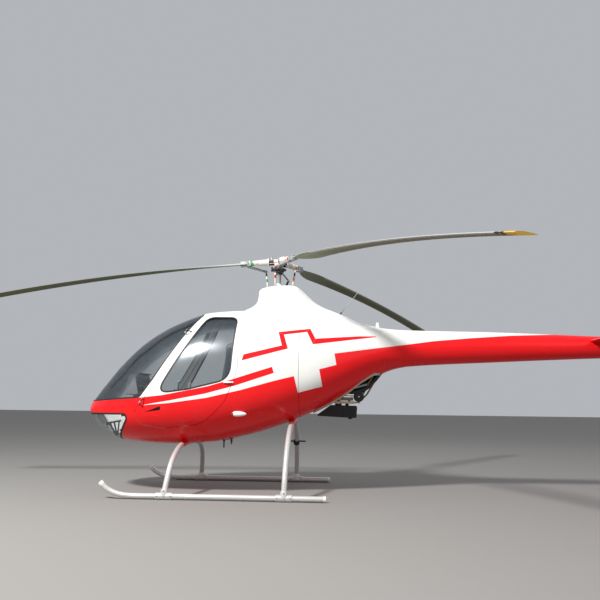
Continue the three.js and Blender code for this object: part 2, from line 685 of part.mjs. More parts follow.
function stabiliser(side) {
  // Sections as distance from the boom's middle, front, back, height, half thickness
  const sections = [[60, 3085, 3385, 1500, 19], [400, 3105, 3372, 1502, 16], [735, 3130, 3358, 1504, 12],
    [752, 3150, 3345, 1504, 6]];
  const around = 16;
  const wing = loft(
    sections.map(([y, front, back, z, half]) =>
      Array.from({ length: around }, (_, i) => {
        const angle = (i / around) * 2 * Math.PI;
        const along = (1 - Math.cos(angle)) / 2;
        const profile = 2.6 * Math.sqrt(along) * (1 - along) ** 0.9;
        return new THREE.Vector3(front + (back - front) * along, side * y,
          z + Math.sign(Math.sin(angle)) * half * profile);
      }),
    ),
  );
  return wing.subtract(boomLoft(3000, TAIL_SEAM_X, 4, SEAT_GAP));
}
const tailBumper = () =>
  tubeAlong([[3790, 0, 1075], [3800, 0, 990], [3880, 0, 950], [4080, 0, 968], [4200, 0, 1010],
    [4235, 0, 1075]], 9, 18, 8).subtract(
    finBody(),
  );

// Main rotor: three arms from the mast, each with its grip, blade and pitch link
const ROTOR_TURN = -1.85;
const BLADE_DIRECTIONS = [180, 60, -60].map((degrees) => degrees + ROTOR_TURN);
const BLADE_ROOT = 335;
const BLADE_CHORD = 180;
const BLADE_TWIST = { root: 15, tip: -1 };
const DROOP = { slope: 0.057, bend: 0.0000202 };
const droopAt = (r) => -DROOP.slope * r - DROOP.bend * r * r;

function bladeSections() {
  // Share of the span from root to full chord, chord share and thickness share
  const rows = [[0, 0.3, 1.9], [0.025, 0.36, 1.8], [0.05, 0.62, 1.4], [0.085, 0.88, 1.1], [0.12, 1, 1],
    [0.19, 1, 1]];
  const outer = [0.3, 0.42, 0.55, 0.68, 0.8, 0.9, 0.97, 1].map((share) => [share, 1, 1]);
  return [...rows, ...outer];
}
function blade() {
  const around = 12;
  const rings = bladeSections().map(([share, chordShare, thick]) => {
    const r = BLADE_ROOT + (ROTOR_RADIUS - BLADE_ROOT) * share;
    const chord = BLADE_CHORD * chordShare;
    const untwisted = (1 - share) ** 3;
    const degrees = BLADE_TWIST.tip + (BLADE_TWIST.root - BLADE_TWIST.tip) * untwisted;
    const twist = THREE.MathUtils.degToRad(degrees);
    return Array.from({ length: around }, (_, i) => {
      const angle = (i / around) * 2 * Math.PI;
      const along = (1 - Math.cos(angle)) / 2;
      const profile = 2.6 * Math.sqrt(along) * (1 - along) ** 0.9;
      const across = chord * (along - 0.25);
      const half = 0.06 * BLADE_CHORD * Math.sqrt(chordShare) * thick;
      const height = Math.sign(Math.sin(angle)) * half * profile;
      return new THREE.Vector3(
        r,
        across * Math.cos(twist) + height * Math.sin(twist),
        HUB_Z + droopAt(r) - across * Math.sin(twist) + height * Math.cos(twist),
      );
    });
  });
  return loft(rings);
}

// A piece of an arm, leaned along the droop at its distance r from the mast
const leaned = (geometry, r) => solid(geometry.rotateY(Math.atan(DROOP.slope)).translate(r, 0,
  HUB_Z + droopAt(r)));
const ROOT_BLOCK = { r: 359, length: 82, width: 50, half: 17 };
const bladeWithRoot = () =>
  blade().add(leaned(new THREE.BoxGeometry(ROOT_BLOCK.length, ROOT_BLOCK.width, 2 * ROOT_BLOCK.half),
    ROOT_BLOCK.r));
const ARM_END = 100;

// A flat arm through points given with half its width and half its thickness there
function flatArm(stops) {
  const around = 8;
  return loft(
    stops.map(({ at: [x, y, z], wide, thick }, i) => {
      const [before, after] = [stops[Math.max(i - 1, 0)].at, stops[Math.min(i + 1, stops.length - 1)].at];
      const across = new THREE.Vector3(before[1] - after[1], after[0] - before[0], 0).normalize();
      return Array.from({ length: around }, (_, k) => {
        const angle = ((k + 0.5) / around) * 2 * Math.PI;
        return new THREE.Vector3(x, y, z + Math.sin(angle) * thick).addScaledVector(across,
          Math.cos(angle) * wide);
      });
    }),
  );
}
function bladeGrip() {
  const at = (r, y = 0, z = 0) => [r, y, HUB_Z + droopAt(r) + z];
  const cheekZ = ROOT_BLOCK.half + SEAT_GAP + 4.5;
  const alongArm = (inner, outer, rIn, rOut) =>
    leaned(new THREE.CylinderGeometry(inner, outer, rOut - rIn, 12).rotateZ(Math.PI / 2),
      (rIn + rOut) / 2);
  const flange = alongArm(40, 40, ARM_END + 1, 118);
  const sleeve = alongArm(34, 25, 112, 272);
  const neck = alongArm(16, 16, 266, 300);
  const cheeks = [-cheekZ, cheekZ].map((z) => leaned(new THREE.BoxGeometry(100, 52, 9).translate(-7, 0,
    z), ROOT_BLOCK.r));
  const bridge = leaned(new THREE.BoxGeometry(26, 52, 2 * cheekZ + 8), 302);
  const bolts = [-1, 1].map((side) => rodBetween(at(372, 0, side * 24), at(372, 0, side * 37), 9, 6));
  const [headX, headY, headZ] = LINK.head;
  const horn = flatArm([
    { at: at(322, -16, -30), wide: 26, thick: 9 },
    { at: at(262, -46, -46), wide: 24, thick: 9 },
    { at: [195, -82, 2236], wide: 18, thick: 9 },
    { at: [headX - 8, headY - 2, headZ], wide: 13, thick: 12 },
  ]);
  return union(flange, sleeve, neck, ...cheeks, bridge, ...bolts, horn);
}

const MAST_RADIUS = 25;
const HUB_CORE = { radius: 46, bottom: 2262, top: 2302 };
const HUB_DISH = { radius: 58, top: 2326 };
const HUB_TOP_Z = 2370;
function rotorMast() {
  return union(
    rodBetween([0, 0, WELL.floor + SEAT_GAP], [0, 0, HUB_CORE.bottom - 3], MAST_RADIUS, 24),
    rodBetween([0, 0, 2232], [0, 0, HUB_CORE.bottom - SEAT_GAP], 32, 24),
  );
}
function rotorHub() {
  const core = rodBetween([0, 0, HUB_CORE.bottom], [0, 0, HUB_CORE.top], HUB_CORE.radius, 20);
  const dish = rodBetween([0, 0, HUB_CORE.top - 4], [0, 0, HUB_DISH.top], HUB_DISH.radius, 24);
  const nut = rodBetween([0, 0, HUB_DISH.top - 2], [0, 0, HUB_DISH.top + 22], 18, 6);
  const arms = BLADE_DIRECTIONS.map((degrees) => {
    const arm = leaned(new THREE.BoxGeometry(72, 58, 44).translate(-36 - SEAT_GAP, 0, 0), ARM_END);
    const bearing = leaned(new THREE.CylinderGeometry(36, 36, 34, 12).rotateZ(Math.PI / 2), 78);
    const studs = [-20, 20].map((y) => rodBetween([74, y, HUB_Z], [74, y, HUB_TOP_Z], 8, 6));
    return union(arm, bearing, ...studs).rotate([0, 0, degrees]);
  });
  return union(core, dish, nut, ...arms);
}
const SWASH_Z = 1972;
const LINK = { radius: 8, foot: [114, -80, SWASH_Z], head: [146, -102, 2222] };
function swashplate() {
  const ring = rodBetween([0, 0, SWASH_Z - 14], [0, 0, SWASH_Z + 10], 84, 28);
  const hub = rodBetween([0, 0, SWASH_Z - 26], [0, 0, SWASH_Z + 44], 42, 24);
  const ears = BLADE_DIRECTIONS.map((degrees) => {
    const ear = new THREE.BoxGeometry(92, 26, 18).translate(104, 0, SWASH_Z + 1);
    const lean = Math.atan2(LINK.foot[1], LINK.foot[0]);
    return solid(ear.rotateZ(THREE.MathUtils.degToRad(degrees) + lean));
  });
  const bore = rodBetween([0, 0, SWASH_Z - 60], [0, 0, SWASH_Z + 60], MAST_RADIUS + SEAT_GAP, 24);
  return union(ring, hub, ...ears).subtract(bore);
}
function pitchLink() {
  const fromEarToHorn = box(0, 300, -300, 0, SWASH_Z + 10 + SEAT_GAP, LINK.head[2] - 11 - SEAT_GAP);
  return rodBetween(LINK.foot, LINK.head, LINK.radius, 10).intersect(fromEarToHorn);
}

// Small outside fittings
const positionLight = (side) => {
  const lamp = new THREE.SphereGeometry(1, 16, 10).scale(78, 30, 24).translate(-305, side * 552, 755);
  return solid(lamp).subtract(hull(-SEAT_GAP));
};
const whipAntenna = () =>
  rodBetween([632, 0, 1759], [818, 0, 1991], 3.5, 8)
    .add(rodBetween([618, 0, 1741], [650, 0, 1782], 9, 10))
    .subtract(mastFairing(SEAT_GAP).add(hull(-SEAT_GAP)));
const spineBlade = () =>
  sidePrism(roundedOutline([[990, 1600], [1003, 1680, 4], [1026, 1680, 4], [1040, 1600]]), -7,
    7).subtract(
    hull(-SEAT_GAP).add(mastFairing(SEAT_GAP)),
  );
const bellyAntennas = () =>
  union(
    rodBetween([-526, 0, 520], [-526, 0, 410], 7, 8),
    rodBetween([-450, 0, 520], [-450, 0, 447], 7, 8),
    sidePrism(roundedOutline([[-545, 482], [-431, 498], [-431, 540], [-545, 540]]), -10, 10),
  ).subtract(hull(-SEAT_GAP));
// A tread clamped round the right rear leg
const LEG_STEP = { x: [97, 262], y: [640, 690], z: [446, 460] };
const legStep = () =>
  union(
    box(...LEG_STEP.x, ...LEG_STEP.y, ...LEG_STEP.z),
    rodBetween([161, 640, 464], [161, 677, 425], BOW_RADIUS + 8, 12),
  ).subtract(bow(GEAR_BOWS[1], BOW_RADIUS + SEAT_GAP));
const landingLamp = () => rodBetween([-1900, 0, 560], [-1700, 0, 606], 46, 20).intersect(hull(4));
const tailLamp = () => rodBetween([4310, 0, 1640], [4372, 0, 1640], 16, 12).subtract(finBody(SEAT_GAP));

// Scene graph
const helicopter = new THREE.Group();
const airframe = new THREE.Group();
const mainRotor = new THREE.Group();
helicopter.add(airframe, mainRotor);

function addNode(group, name, manifold, look) {
  const mesh = new THREE.Mesh(geometryOf(manifold), look);
  mesh.name = name;
  group.add(mesh);
  return mesh;
}

addNode(airframe, "cabin_hull", cabinHull(), PAINT_RED);
addNode(airframe, "engine_cowl", engineCowl(), PAINT_RED);
addNode(airframe, "mast_fairing", mastFairingShell(), PAINT_WHITE);
addNode(airframe, "windscreen", windscreen(), GLAZING);
addNode(airframe, "cabin_floor", cabinFloor(), GREY_TRIM);
addNode(airframe, "instrument_console", instrumentConsole(), BLACK);
addNode(airframe, "flight_controls", flightControls(), BLACK);
addNode(airframe, "collective_lever", collectiveLever(), BLACK);
addNode(airframe, "seat_base", seatBase(), GREY_TRIM);
addNode(airframe, "engine_block", engineBlock(), DARK_METAL);
addNode(airframe, "engine_mounts", engineMounts(), DARK_METAL);
addNode(airframe, "silencer", silencer(), BLACK);
addNode(airframe, "air_duct", airDuct(), BLACK);
addNode(airframe, "tail_boom", tailBoom(), PAINT_RED);
addNode(airframe, "tail_fin", tailFin(), PAINT_RED);
addNode(airframe, "tail_gearbox", tailGearbox(), SILVER);
addNode(airframe, "tail_rotor", tailRotor(), DARK_METAL);
addNode(airframe, "tail_bumper", tailBumper(), BLACK);
addNode(airframe, "tail_lamp", tailLamp(), LENS);
addNode(airframe, "landing_lamp", landingLamp(), LENS);
addNode(airframe, "whip_antenna", whipAntenna(), SILVER);
addNode(airframe, "spine_antenna", spineBlade(), PAINT_WHITE);
addNode(airframe, "belly_antennas", bellyAntennas(), BLACK);
for (const gear of GEAR_BOWS) addNode(airframe, gear.name, bow(gear, BOW_RADIUS), SILVER);
addNode(airframe, "leg_step", legStep(), BLACK);
for (const [word, side] of [["left", -1], ["right", 1]]) {
  addNode(airframe, `skid_${word}`, skid(side), SILVER);
  addNode(airframe, `chin_window_${word}`, chinWindow(side), GLAZING);
  addNode(airframe, `door_${word}`, door(side), PAINT_RED);
  addNode(airframe, `door_window_${word}`, doorWindow(side), GLAZING);
  addNode(airframe, `door_handle_${word}`, doorHandle(side), PAINT_WHITE);
  addNode(airframe, `seat_cushion_${word}`, seatCushion(side), CLOTH);
  addNode(airframe, `position_lamp_${word}`, positionLight(side), LENS);
  addNode(airframe, `stabiliser_${word}`, stabiliser(side), PAINT_WHITE);
}
addNode(mainRotor, "rotor_mast", rotorMast(), SILVER);
addNode(mainRotor, "rotor_hub", rotorHub(), SILVER);
addNode(mainRotor, "swashplate", swashplate(), DARK_METAL);
BLADE_DIRECTIONS.forEach((degrees, i) => {
  const arm = new THREE.Group();
  arm.rotation.z = THREE.MathUtils.degToRad(degrees);
  mainRotor.add(arm);
  addNode(arm, `blade_${i + 1}`, bladeWithRoot(), BLADE_PAINT);
  addNode(arm, `blade_grip_${i + 1}`, bladeGrip(), PAINT_WHITE);
  addNode(arm, `pitch_link_${i + 1}`, pitchLink(), PAINT_WHITE);
});

helicopter.position.x = -REFERENCE_X;

export default helicopter;
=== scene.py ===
"""A light two-seat helicopter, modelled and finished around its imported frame.

Metres, +X towards the tail, +Y to starboard, +Z up. Shapes are measured from the point on the ground
under the rotor axis, and moved to the frame by MAST_X.
"""

import json
import math

import bmesh
import bpy
from bpy.props import FloatProperty, FloatVectorProperty, IntProperty, PointerProperty
from mathutils import Matrix, Vector


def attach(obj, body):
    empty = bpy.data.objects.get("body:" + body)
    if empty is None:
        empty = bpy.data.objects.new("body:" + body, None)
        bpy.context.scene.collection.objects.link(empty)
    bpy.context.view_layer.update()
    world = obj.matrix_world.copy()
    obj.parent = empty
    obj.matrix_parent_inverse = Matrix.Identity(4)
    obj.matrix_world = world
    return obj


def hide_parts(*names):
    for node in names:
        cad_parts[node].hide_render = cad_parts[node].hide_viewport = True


bl_info = {
    "name": "Light Helicopter",
    "version": (1, 0, 0),
    "blender": (4, 5, 0),
    "location": "View3D > Sidebar > Helicopter",
    "description": "Models and finishes a two-seat helicopter around its packed frame",
    "category": "Add Mesh",
}

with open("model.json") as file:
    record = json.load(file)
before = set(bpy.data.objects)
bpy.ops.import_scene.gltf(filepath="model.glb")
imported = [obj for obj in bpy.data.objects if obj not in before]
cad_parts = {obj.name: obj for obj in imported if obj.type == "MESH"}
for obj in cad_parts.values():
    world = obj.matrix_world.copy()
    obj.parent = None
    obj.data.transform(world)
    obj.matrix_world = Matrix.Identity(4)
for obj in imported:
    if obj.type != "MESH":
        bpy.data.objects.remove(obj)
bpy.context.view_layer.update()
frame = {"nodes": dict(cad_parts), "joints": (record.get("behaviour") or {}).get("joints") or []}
JOINTS = {joint["name"]: joint for joint in frame["joints"]}
MAST_X = JOINTS["main_rotor_spin"]["pos_m"][0]
MAST = Vector((MAST_X, 0, 0))
FAN_CENTRE = Vector(JOINTS["tail_rotor_spin"]["pos_m"])

SIDES = {"left": -1, "right": 1}
AXES = (Vector((1, 0, 0)), Vector((0, 1, 0)), Vector((0, 0, 1)))
UP = AXES[2]

# Hull sections, from the mast: station, top, bottom, height of greatest width, half width, and the
# roundness above and below that height
HULL_ROWS = [
    (-1.860, 0.855, 0.708, 0.790, 0.155, 2.00, 2.00),
    (-1.810, 0.915, 0.630, 0.785, 0.255, 2.00, 2.00),
    (-1.700, 1.065, 0.550, 0.785, 0.365, 2.00, 2.10),
    (-1.550, 1.250, 0.487, 0.800, 0.462, 2.05, 2.20),
    (-1.295, 1.488, 0.458, 0.840, 0.562, 2.10, 2.30),
    (-1.000, 1.657, 0.449, 0.900, 0.610, 2.20, 2.35),
    (-0.650, 1.770, 0.470, 0.950, 0.620, 2.25, 2.35),
    (-0.333, 1.790, 0.530, 1.000, 0.610, 2.25, 2.30),
    (0.000, 1.770, 0.625, 1.060, 0.575, 2.20, 2.25),
    (0.350, 1.735, 0.768, 1.140, 0.500, 2.15, 2.20),
    (0.650, 1.690, 0.920, 1.240, 0.400, 2.10, 2.10),
    (0.850, 1.655, 1.045, 1.315, 0.320, 2.05, 2.05),
    (1.000, 1.632, 1.131, 1.360, 0.262, 2.00, 2.00),
    (1.160, 1.612, 1.204, 1.400, 0.210, 2.00, 2.00),
    (1.310, 1.603, 1.236, 1.420, 0.184, 2.00, 2.00),
    (2.150, 1.588, 1.285, 1.4365, 0.1515, 2.00, 2.00),
    (3.220, 1.552, 1.335, 1.4435, 0.1085, 2.00, 2.00),
    (3.700, 1.536, 1.352, 1.4440, 0.0920, 2.00, 2.00),
]
NOSE = (-1.890, 0.790)
WALL = 0.028
SKIN = 0.007
GLASS_SINK = 0.003
PANE_GAP = 0.0003
SEAL_RISE = 0.0015
SEAL_FOOT = 0.0065
SEAL_LAP = 0.001
CHIN_SEAL = 0.016
DOOR_GAP = 0.0035
COWL_SEAM_X = 0.250
BOOM_SEAM_X = 1.255
TAIL_SEAM_X = 3.400
CABIN_BACK_X = -0.290
BULKHEAD = 0.040
KEEL_HALF = 0.070
FLOOR_Z = 0.590

# Outlines seen from the side as x, z and the radius of the corner
DOOR_CORNERS = [
    (-1.224, 0.862, 0.020),
    (-1.322, 0.735, 0.130),
    (-1.225, 0.640, 0.090),
    (-1.020, 0.612, 0.200),
    (-0.640, 0.650, 0.400),
    (-0.425, 0.870, 0.300),
    (-0.318, 1.160, 0.220),
    (-0.318, 1.712, 0.060),
    (-0.690, 1.712, 0.040),
]
WINDOW_CORNERS = [
    (-1.092, 0.928, 0.075),
    (-0.775, 0.974, 0.500),
    (-0.385, 1.072, 0.170),
    (-0.352, 1.690, 0.075),
    (-0.655, 1.696, 0.110),
    (-0.912, 1.255, 0.0),
]
WINDSCREEN_CORNERS = [
    (-2.100, 0.838, 0.0),
    (-1.250, 0.893, 0.060),
    (-1.121, 1.070, 0.0),
    (-0.869, 1.482, 0.200),
    (-0.722, 1.712, 0.0),
    (-0.800, 1.900, 0.0),
    (-2.100, 1.900, 0.0),
]
CHIN_CORNERS = [
    (-2.100, 0.745, 0.0),
    (-1.385, 0.749, 0.050),
    (-1.372, 0.690, 0.040),
    (-1.440, 0.590, 0.200),
    (-1.560, 0.420, 0.0),
    (-2.100, 0.420, 0.0),
]

# Half of the belly's opening seen from above, as x, y and corner radius, and the lip round its edge
ENGINE_OPENING_HALF = [
    (0.375, 0.062, 0.040),
    (0.500, 0.088, 0.200),
    (0.840, 0.168, 0.160),
    (0.975, 0.160, 0.060),
    (1.035, 0.096, 0.050),
]
OPENING_TOP_Z = 1.300
LIP_WALL = 0.005
LIP_BELOW = 0.014

# Livery lines as x and z: where red paint ends and white begins
RED_TOP_FRONT = [(-1.206, 0.825), (-0.949, 0.849), (-0.612, 0.898), (-0.281, 0.976), (0.015, 1.062),
                 (0.209, 1.112), (0.443, 1.181), (0.605, 1.227)]
RED_TOP_REAR = [(0.586, 1.335), (0.993, 1.400), (1.240, 1.436), (1.561, 1.482), (1.939, 1.517),
                (2.321, 1.546), (2.700, 1.562), (3.200, 1.600), (3.400, 1.900)]
SWOOSH_TOP = [(-1.206, 0.827), (-0.950, 0.872), (-0.613, 0.939), (-0.331, 1.017), (0.022, 1.138)]
BAND_TOP = [(-1.900, 0.850), (-1.510, 0.879), (-1.243, 0.896), (-1.021, 0.921), (-0.601, 1.005),
            (-0.392, 1.065), (0.004, 1.196)]
BAND_END = [(0.022, 1.138), (0.004, 1.196)]
STEP_LINE = [(0.605, 1.227), (0.586, 1.335)]
CROSS_ARM = [(0.209, 1.112), (0.246, 0.958), (0.473, 1.020), (0.443, 1.181)]
STRIPE_QUADS = [
    [(-0.282, 1.251), (0.147, 1.372), (0.088, 1.402), (-0.268, 1.310)],
    [(0.088, 1.402), (0.147, 1.372), (0.103, 1.510), (0.049, 1.536)],
    [(0.049, 1.536), (0.103, 1.510), (0.321, 1.543), (0.351, 1.578)],
    [(0.321, 1.543), (0.381, 1.418), (0.403, 1.477), (0.351, 1.578)],
    [(0.381, 1.418), (0.543, 1.443), (0.980, 1.507), (1.000, 1.521), (0.833, 1.516), (0.403, 1.477)],
]

# Mast fairing, level sections: height, front, back, half width
FAIRING_ROWS = [
    (1.600, -0.470, 1.130, 0.330),
    (1.640, -0.440, 0.985, 0.318),
    (1.683, -0.410, 0.812, 0.300),
    (1.731, -0.385, 0.715, 0.276),
    (1.790, -0.340, 0.568, 0.246),
    (1.820, -0.277, 0.490, 0.236),
    (1.866, -0.223, 0.402, 0.226),
    (1.911, -0.205, 0.345, 0.218),
    (1.950, -0.201, 0.297, 0.211),
    (1.985, -0.199, 0.255, 0.205),
    (2.008, -0.194, 0.226, 0.198),
    (2.022, -0.182, 0.207, 0.189),
    (2.029, -0.160, 0.188, 0.176),
]
FAIRING_TILT_SLOPE = 0.08
FAIRING_TILT_FROM = 1.900
WELL_FLOOR = 1.900
WELL_RADIUS = 0.165

# Tail shroud and fin, level sections: height, leading edge, trailing edge, half thickness
FIN_ROWS = [
    (1.020, 3.820, 4.130, 0.018),
    (1.045, 3.755, 4.205, 0.038),
    (1.100, 3.655, 4.268, 0.060),
    (1.200, 3.558, 4.315, 0.088),
    (1.310, 3.505, 4.342, 0.106),
    (1.430, 3.485, 4.352, 0.115),
    (1.550, 3.510, 4.345, 0.108),
    (1.670, 3.582, 4.332, 0.092),
    (1.770, 3.690, 4.328, 0.072),
    (1.860, 3.790, 4.338, 0.056),
    (1.980, 3.890, 4.362, 0.042),
    (2.100, 3.990, 4.390, 0.032),
    (2.195, 4.068, 4.412, 0.024),
    (2.228, 4.110, 4.420, 0.012),
]
DUCT_RADIUS = 0.305

# Rotor
HUB_Z = 2.313
BLADE_TIP = 3.600
BLADE_ROOT = 0.335
BLADE_CHORD = 0.180
BLADE_DIRECTIONS = (178.15, 58.15, -61.85)
BLADE_TWIST_ROOT = 15.0
BLADE_TWIST_TIP = -1.0
DROOP_SLOPE = 0.057
DROOP_BEND = 0.0202
# Share of the span, chord share, thickness share
BLADE_ROWS = [
    (0.000, 0.30, 1.90),
    (0.025, 0.36, 1.80),
    (0.050, 0.62, 1.40),
    (0.085, 0.88, 1.10),
    (0.120, 1.00, 1.00),
    (1.000, 1.00, 1.00),
]
ROOT_R = 0.359
ARM_END = 0.100
SWASH_Z = 1.972
LINK_FOOT = Vector((0.114, -0.080, SWASH_Z))
LINK_HEAD = Vector((0.146, -0.102, 2.222))

# Landing gear: x at the skid and at the belly, then half the bow as y and z, and its top
GEAR_BOWS = {
    "front": (
        -0.909, -0.867,
        [(0.837, 0.062), (0.802, 0.160), (0.735, 0.285), (0.655, 0.358), (0.540, 0.415), (0.400, 0.452),
         (0.220, 0.472)],
        0.478,
    ),
    "rear": (
        0.155, 0.172,
        [(0.837, 0.062), (0.803, 0.200), (0.730, 0.360), (0.620, 0.490), (0.470, 0.590), (0.300, 0.650),
         (0.160, 0.676)],
        0.688,
    ),
}
BOW_RADIUS = 0.025
SKID_RADIUS = 0.024
SKID_Z = 0.031
SKID_Y = 0.837
SKID_PATH = [(0.525, 0.031), (0.0, 0.031), (-0.7, 0.031), (-1.21, 0.031), (-1.33, 0.046), (-1.42, 0.084),
             (-1.49, 0.140)]

# Door hinges: the axis, then how far along it a hinge's middle lies, its foot on the door and on the post
HINGE_AXIS = ((-1.237, 0.622, 0.839), (-0.825, 0.472, 1.570))
HINGE_BARREL = 0.018
HINGE_FEET = (
    (0.030, (-1.180, 0.556, 0.890), (-1.262, 0.548, 0.833)),
    (-0.040, (-0.776, 0.425, 1.530), (-0.843, 0.430, 1.500)),
)


def colour_setting(name, description, default):
    return FloatVectorProperty(name=name, description=description, subtype="COLOR", size=3, default=default)


def length_setting(name, description, default):
    return FloatProperty(name=name, description=description, unit="LENGTH", default=default)


class PaintSettings(bpy.types.PropertyGroup):
    """Colours of the finishes."""

    red: colour_setting("Red", "Lower body paint", (0.82, 0.010, 0.013))
    white: colour_setting("White", "Upper body paint", (0.80, 0.79, 0.75))
    blade_top: colour_setting("Blade Top", "Upper side of the blades", (0.34, 0.37, 0.34))
    # The underside is darker than the top: partly the blade's own olive, partly painted shade and painted
    # reflection of green ground.
    blade_under: colour_setting("Blade Underside", "Lower side of the blades", (0.112, 0.125, 0.050))
    gear: colour_setting("Landing Gear", "Skids and cross tubes", (0.64, 0.63, 0.61))
    lining: colour_setting("Lining", "Cabin walls and trim", (0.085, 0.09, 0.10))
    cloth: colour_setting("Seat Cloth", "Seat cushions", (0.035, 0.045, 0.060))
    tint: colour_setting("Glass Tint", "What each face of the glazing lets through", (0.91, 0.925, 0.92))


class ShapeSettings(bpy.types.PropertyGroup):
    """Sizes of the pieces that only the finish adds."""

    glass: length_setting("Glazing", "Thickness of the acrylic", 0.005)
    seal: length_setting("Seal Width", "Width of the window seals", 0.013)
    hull_rows: IntProperty(name="Hull Rows", description="Sections along the hull", default=130)
    hull_columns: IntProperty(name="Hull Columns", description="Faces around the hull", default=120)
    tip_mark: length_setting("Tip Mark", "Length of a blade's yellow tip", 0.095)
    tip_band: length_setting("Tip Band", "Length of its dark band", 0.085)
    pad_swell: length_setting("Pad Swell", "How far a cushion may swell", 0.014)
    pad_voxel: length_setting("Pad Voxel", "Mesh size of the cushions", 0.007)


class StageSettings(bpy.types.PropertyGroup):
    """Floor, light and camera."""

    floor: colour_setting("Floor", "Floor colour", (0.25, 0.24, 0.225))
    key_power: FloatProperty(name="Key Light", description="Power of the main softbox", unit="POWER",
                             default=1600.0)
    fill_power: FloatProperty(name="Fill Light", description="Power of the fill", unit="POWER",
                              default=60.0)
    sky: FloatProperty(name="Sky", description="Strength of the surrounding light", default=0.50)
    lens: FloatProperty(name="Lens", description="Focal length on a 36 mm sensor", unit="CAMERA",
                        default=43.03)


def from_mast(x, y, z):
    """A point measured from the mast's foot, in the frame's own coordinates."""
    return Vector((x + MAST_X, y, z))


def smooth_curve(xs, ys):
    """A curve through the points that never overshoots them."""
    slopes = [(y1 - y0) / (x1 - x0) for x0, x1, y0, y1 in zip(xs, xs[1:], ys, ys[1:])]
    tangents = [slopes[0]]
    for before, after in zip(slopes, slopes[1:]):
        tangents.append(0.0 if before * after <= 0 else 2 * before * after / (before + after))
    tangents.append(slopes[-1])

    def value(x):
        i = 0
        while i < len(xs) - 2 and x > xs[i + 1]:
            i += 1
        span = xs[i + 1] - xs[i]
        t = (x - xs[i]) / span
        return (
            (2 * t**3 - 3 * t**2 + 1) * ys[i]
            + (t**3 - 2 * t**2 + t) * span * tangents[i]
            + (3 * t**2 - 2 * t**3) * ys[i + 1]
            + (t**3 - t**2) * span * tangents[i + 1]
        )

    return value


def signed_power(value, power):
    return math.copysign(abs(value) ** power, value)


def uphill(level, p, step):
    """The direction in which a level function grows at p."""
    return Vector([level(p + step * axis) - level(p - step * axis) for axis in AXES])


class HullForm:
    """The egg of the cabin and the boom behind it: rounded sections along the length."""

    def __init__(self):
        stations = [0.0] + [self.station(row[0]) for row in HULL_ROWS]
        at_nose = (NOSE[1], NOSE[1], NOSE[1], 0.0, 2.0, 2.0)
        self.columns = [
            smooth_curve(stations, [first] + [row[i + 1] for row in HULL_ROWS])
            for i, first in enumerate(at_nose)
        ]

    @staticmethod
    def station(x):
        """Sections are spread by the root of their distance from the nose, which keeps the nose round."""
        return math.sqrt(max(x - NOSE[0], 0.0))

    def point(self, station, angle, depth=0.0):
        top, bottom, wide, half, above, below = (column(station) for column in self.columns)
        c, s = math.cos(angle), math.sin(angle)
        power = 2 / (above if s > 0 else below)
        rise = top - wide if s > 0 else wide - bottom
        place = Vector((
            NOSE[0] + station**2,
            half * signed_power(c, power),
            wide + rise * signed_power(s, power),
        ))
        if depth:
            place -= self.normal(place) * depth
        return place

    def level(self, p):
        """Under 1 inside the hull, over 1 outside it."""
        top, bottom, wide, half, above, below = (column(self.station(p.x)) for column in self.columns)
        power = above if p.z > wide else below
        rise = top - wide if p.z > wide else wide - bottom
        return (abs(p.y) / max(half, 1e-4)) ** power + (abs(p.z - wide) / max(rise, 1e-4)) ** power

    def normal(self, p):
        """Outward normal of the level surface through p."""
        if p.x < NOSE[0] + 0.0004:
            return Vector((-1, 0, 0))
        return uphill(self.level, p, 0.0002).normalized()

    def skin_point(self, x, z, side, depth=0.0):
        """The point of the skin at this station and height, on the side given as -1 or 1."""
        top, bottom, wide, half, above, below = (column(self.station(x)) for column in self.columns)
        power = above if z > wide else below
        share = min(abs(z - wide) / (top - wide if z > wide else wide - bottom), 1.0)
        place = Vector((x, side * half * (1 - share**power) ** (1 / power), z))
        return place - self.normal(place) * depth


HULL = HullForm()


def rounded_outline(corners, arc_steps=10):
    """The outline through the corners, each rounded by its own radius."""
    outline = []
    for i, (x, z, radius) in enumerate(corners):
        here = Vector((x, z))
        if not radius:
            outline.append(here)
            continue
        before = Vector(corners[i - 1][:2]) - here
        after = Vector(corners[(i + 1) % len(corners)][:2]) - here
        half = before.angle(after) / 2
        reach = min(radius / math.tan(half), before.length / 2, after.length / 2)
        start = here + before.normalized() * reach
        end = here + after.normalized() * reach
        for step in range(arc_steps + 1):
            t = step / arc_steps
            outline.append(start * (1 - t) ** 2 + here * 2 * t * (1 - t) + end * t**2)
    return outline


def grown(outline, distance):
    """The outline moved outwards by a distance, or inwards if it is negative."""
    pairs = list(zip(outline, outline[1:] + outline[:1]))
    turn = math.copysign(1, sum(a.x * b.y - b.x * a.y for a, b in pairs))
    moved = []
    for i, point in enumerate(outline):
        before = (point - outline[i - 1]).normalized()
        after = (outline[(i + 1) % len(outline)] - point).normalized()
        middle = (before + after).normalized()
        spread = max(0.4, middle.dot(after))
        moved.append(point + Vector((middle.y, -middle.x)) * (turn * distance / spread))
    return moved


def surface(place, columns, rows):
    """A grid laid over place(u, v) for u and v from 0 to 1, with its edges joined and its ends closed."""
    shape = bmesh.new()
    bmesh.ops.create_grid(shape, x_segments=columns, y_segments=rows, size=0.5)
    for vert in shape.verts:
        vert.co = place(vert.co.x + 0.5, vert.co.y + 0.5)
    bmesh.ops.remove_doubles(shape, verts=shape.verts, dist=2e-6)
    bmesh.ops.holes_fill(shape, edges=[edge for edge in shape.edges if edge.is_boundary])
    bmesh.ops.recalc_face_normals(shape, faces=shape.faces)
    return shape


HULL_END_X = 1.32
HULL_SOLIDS = {}


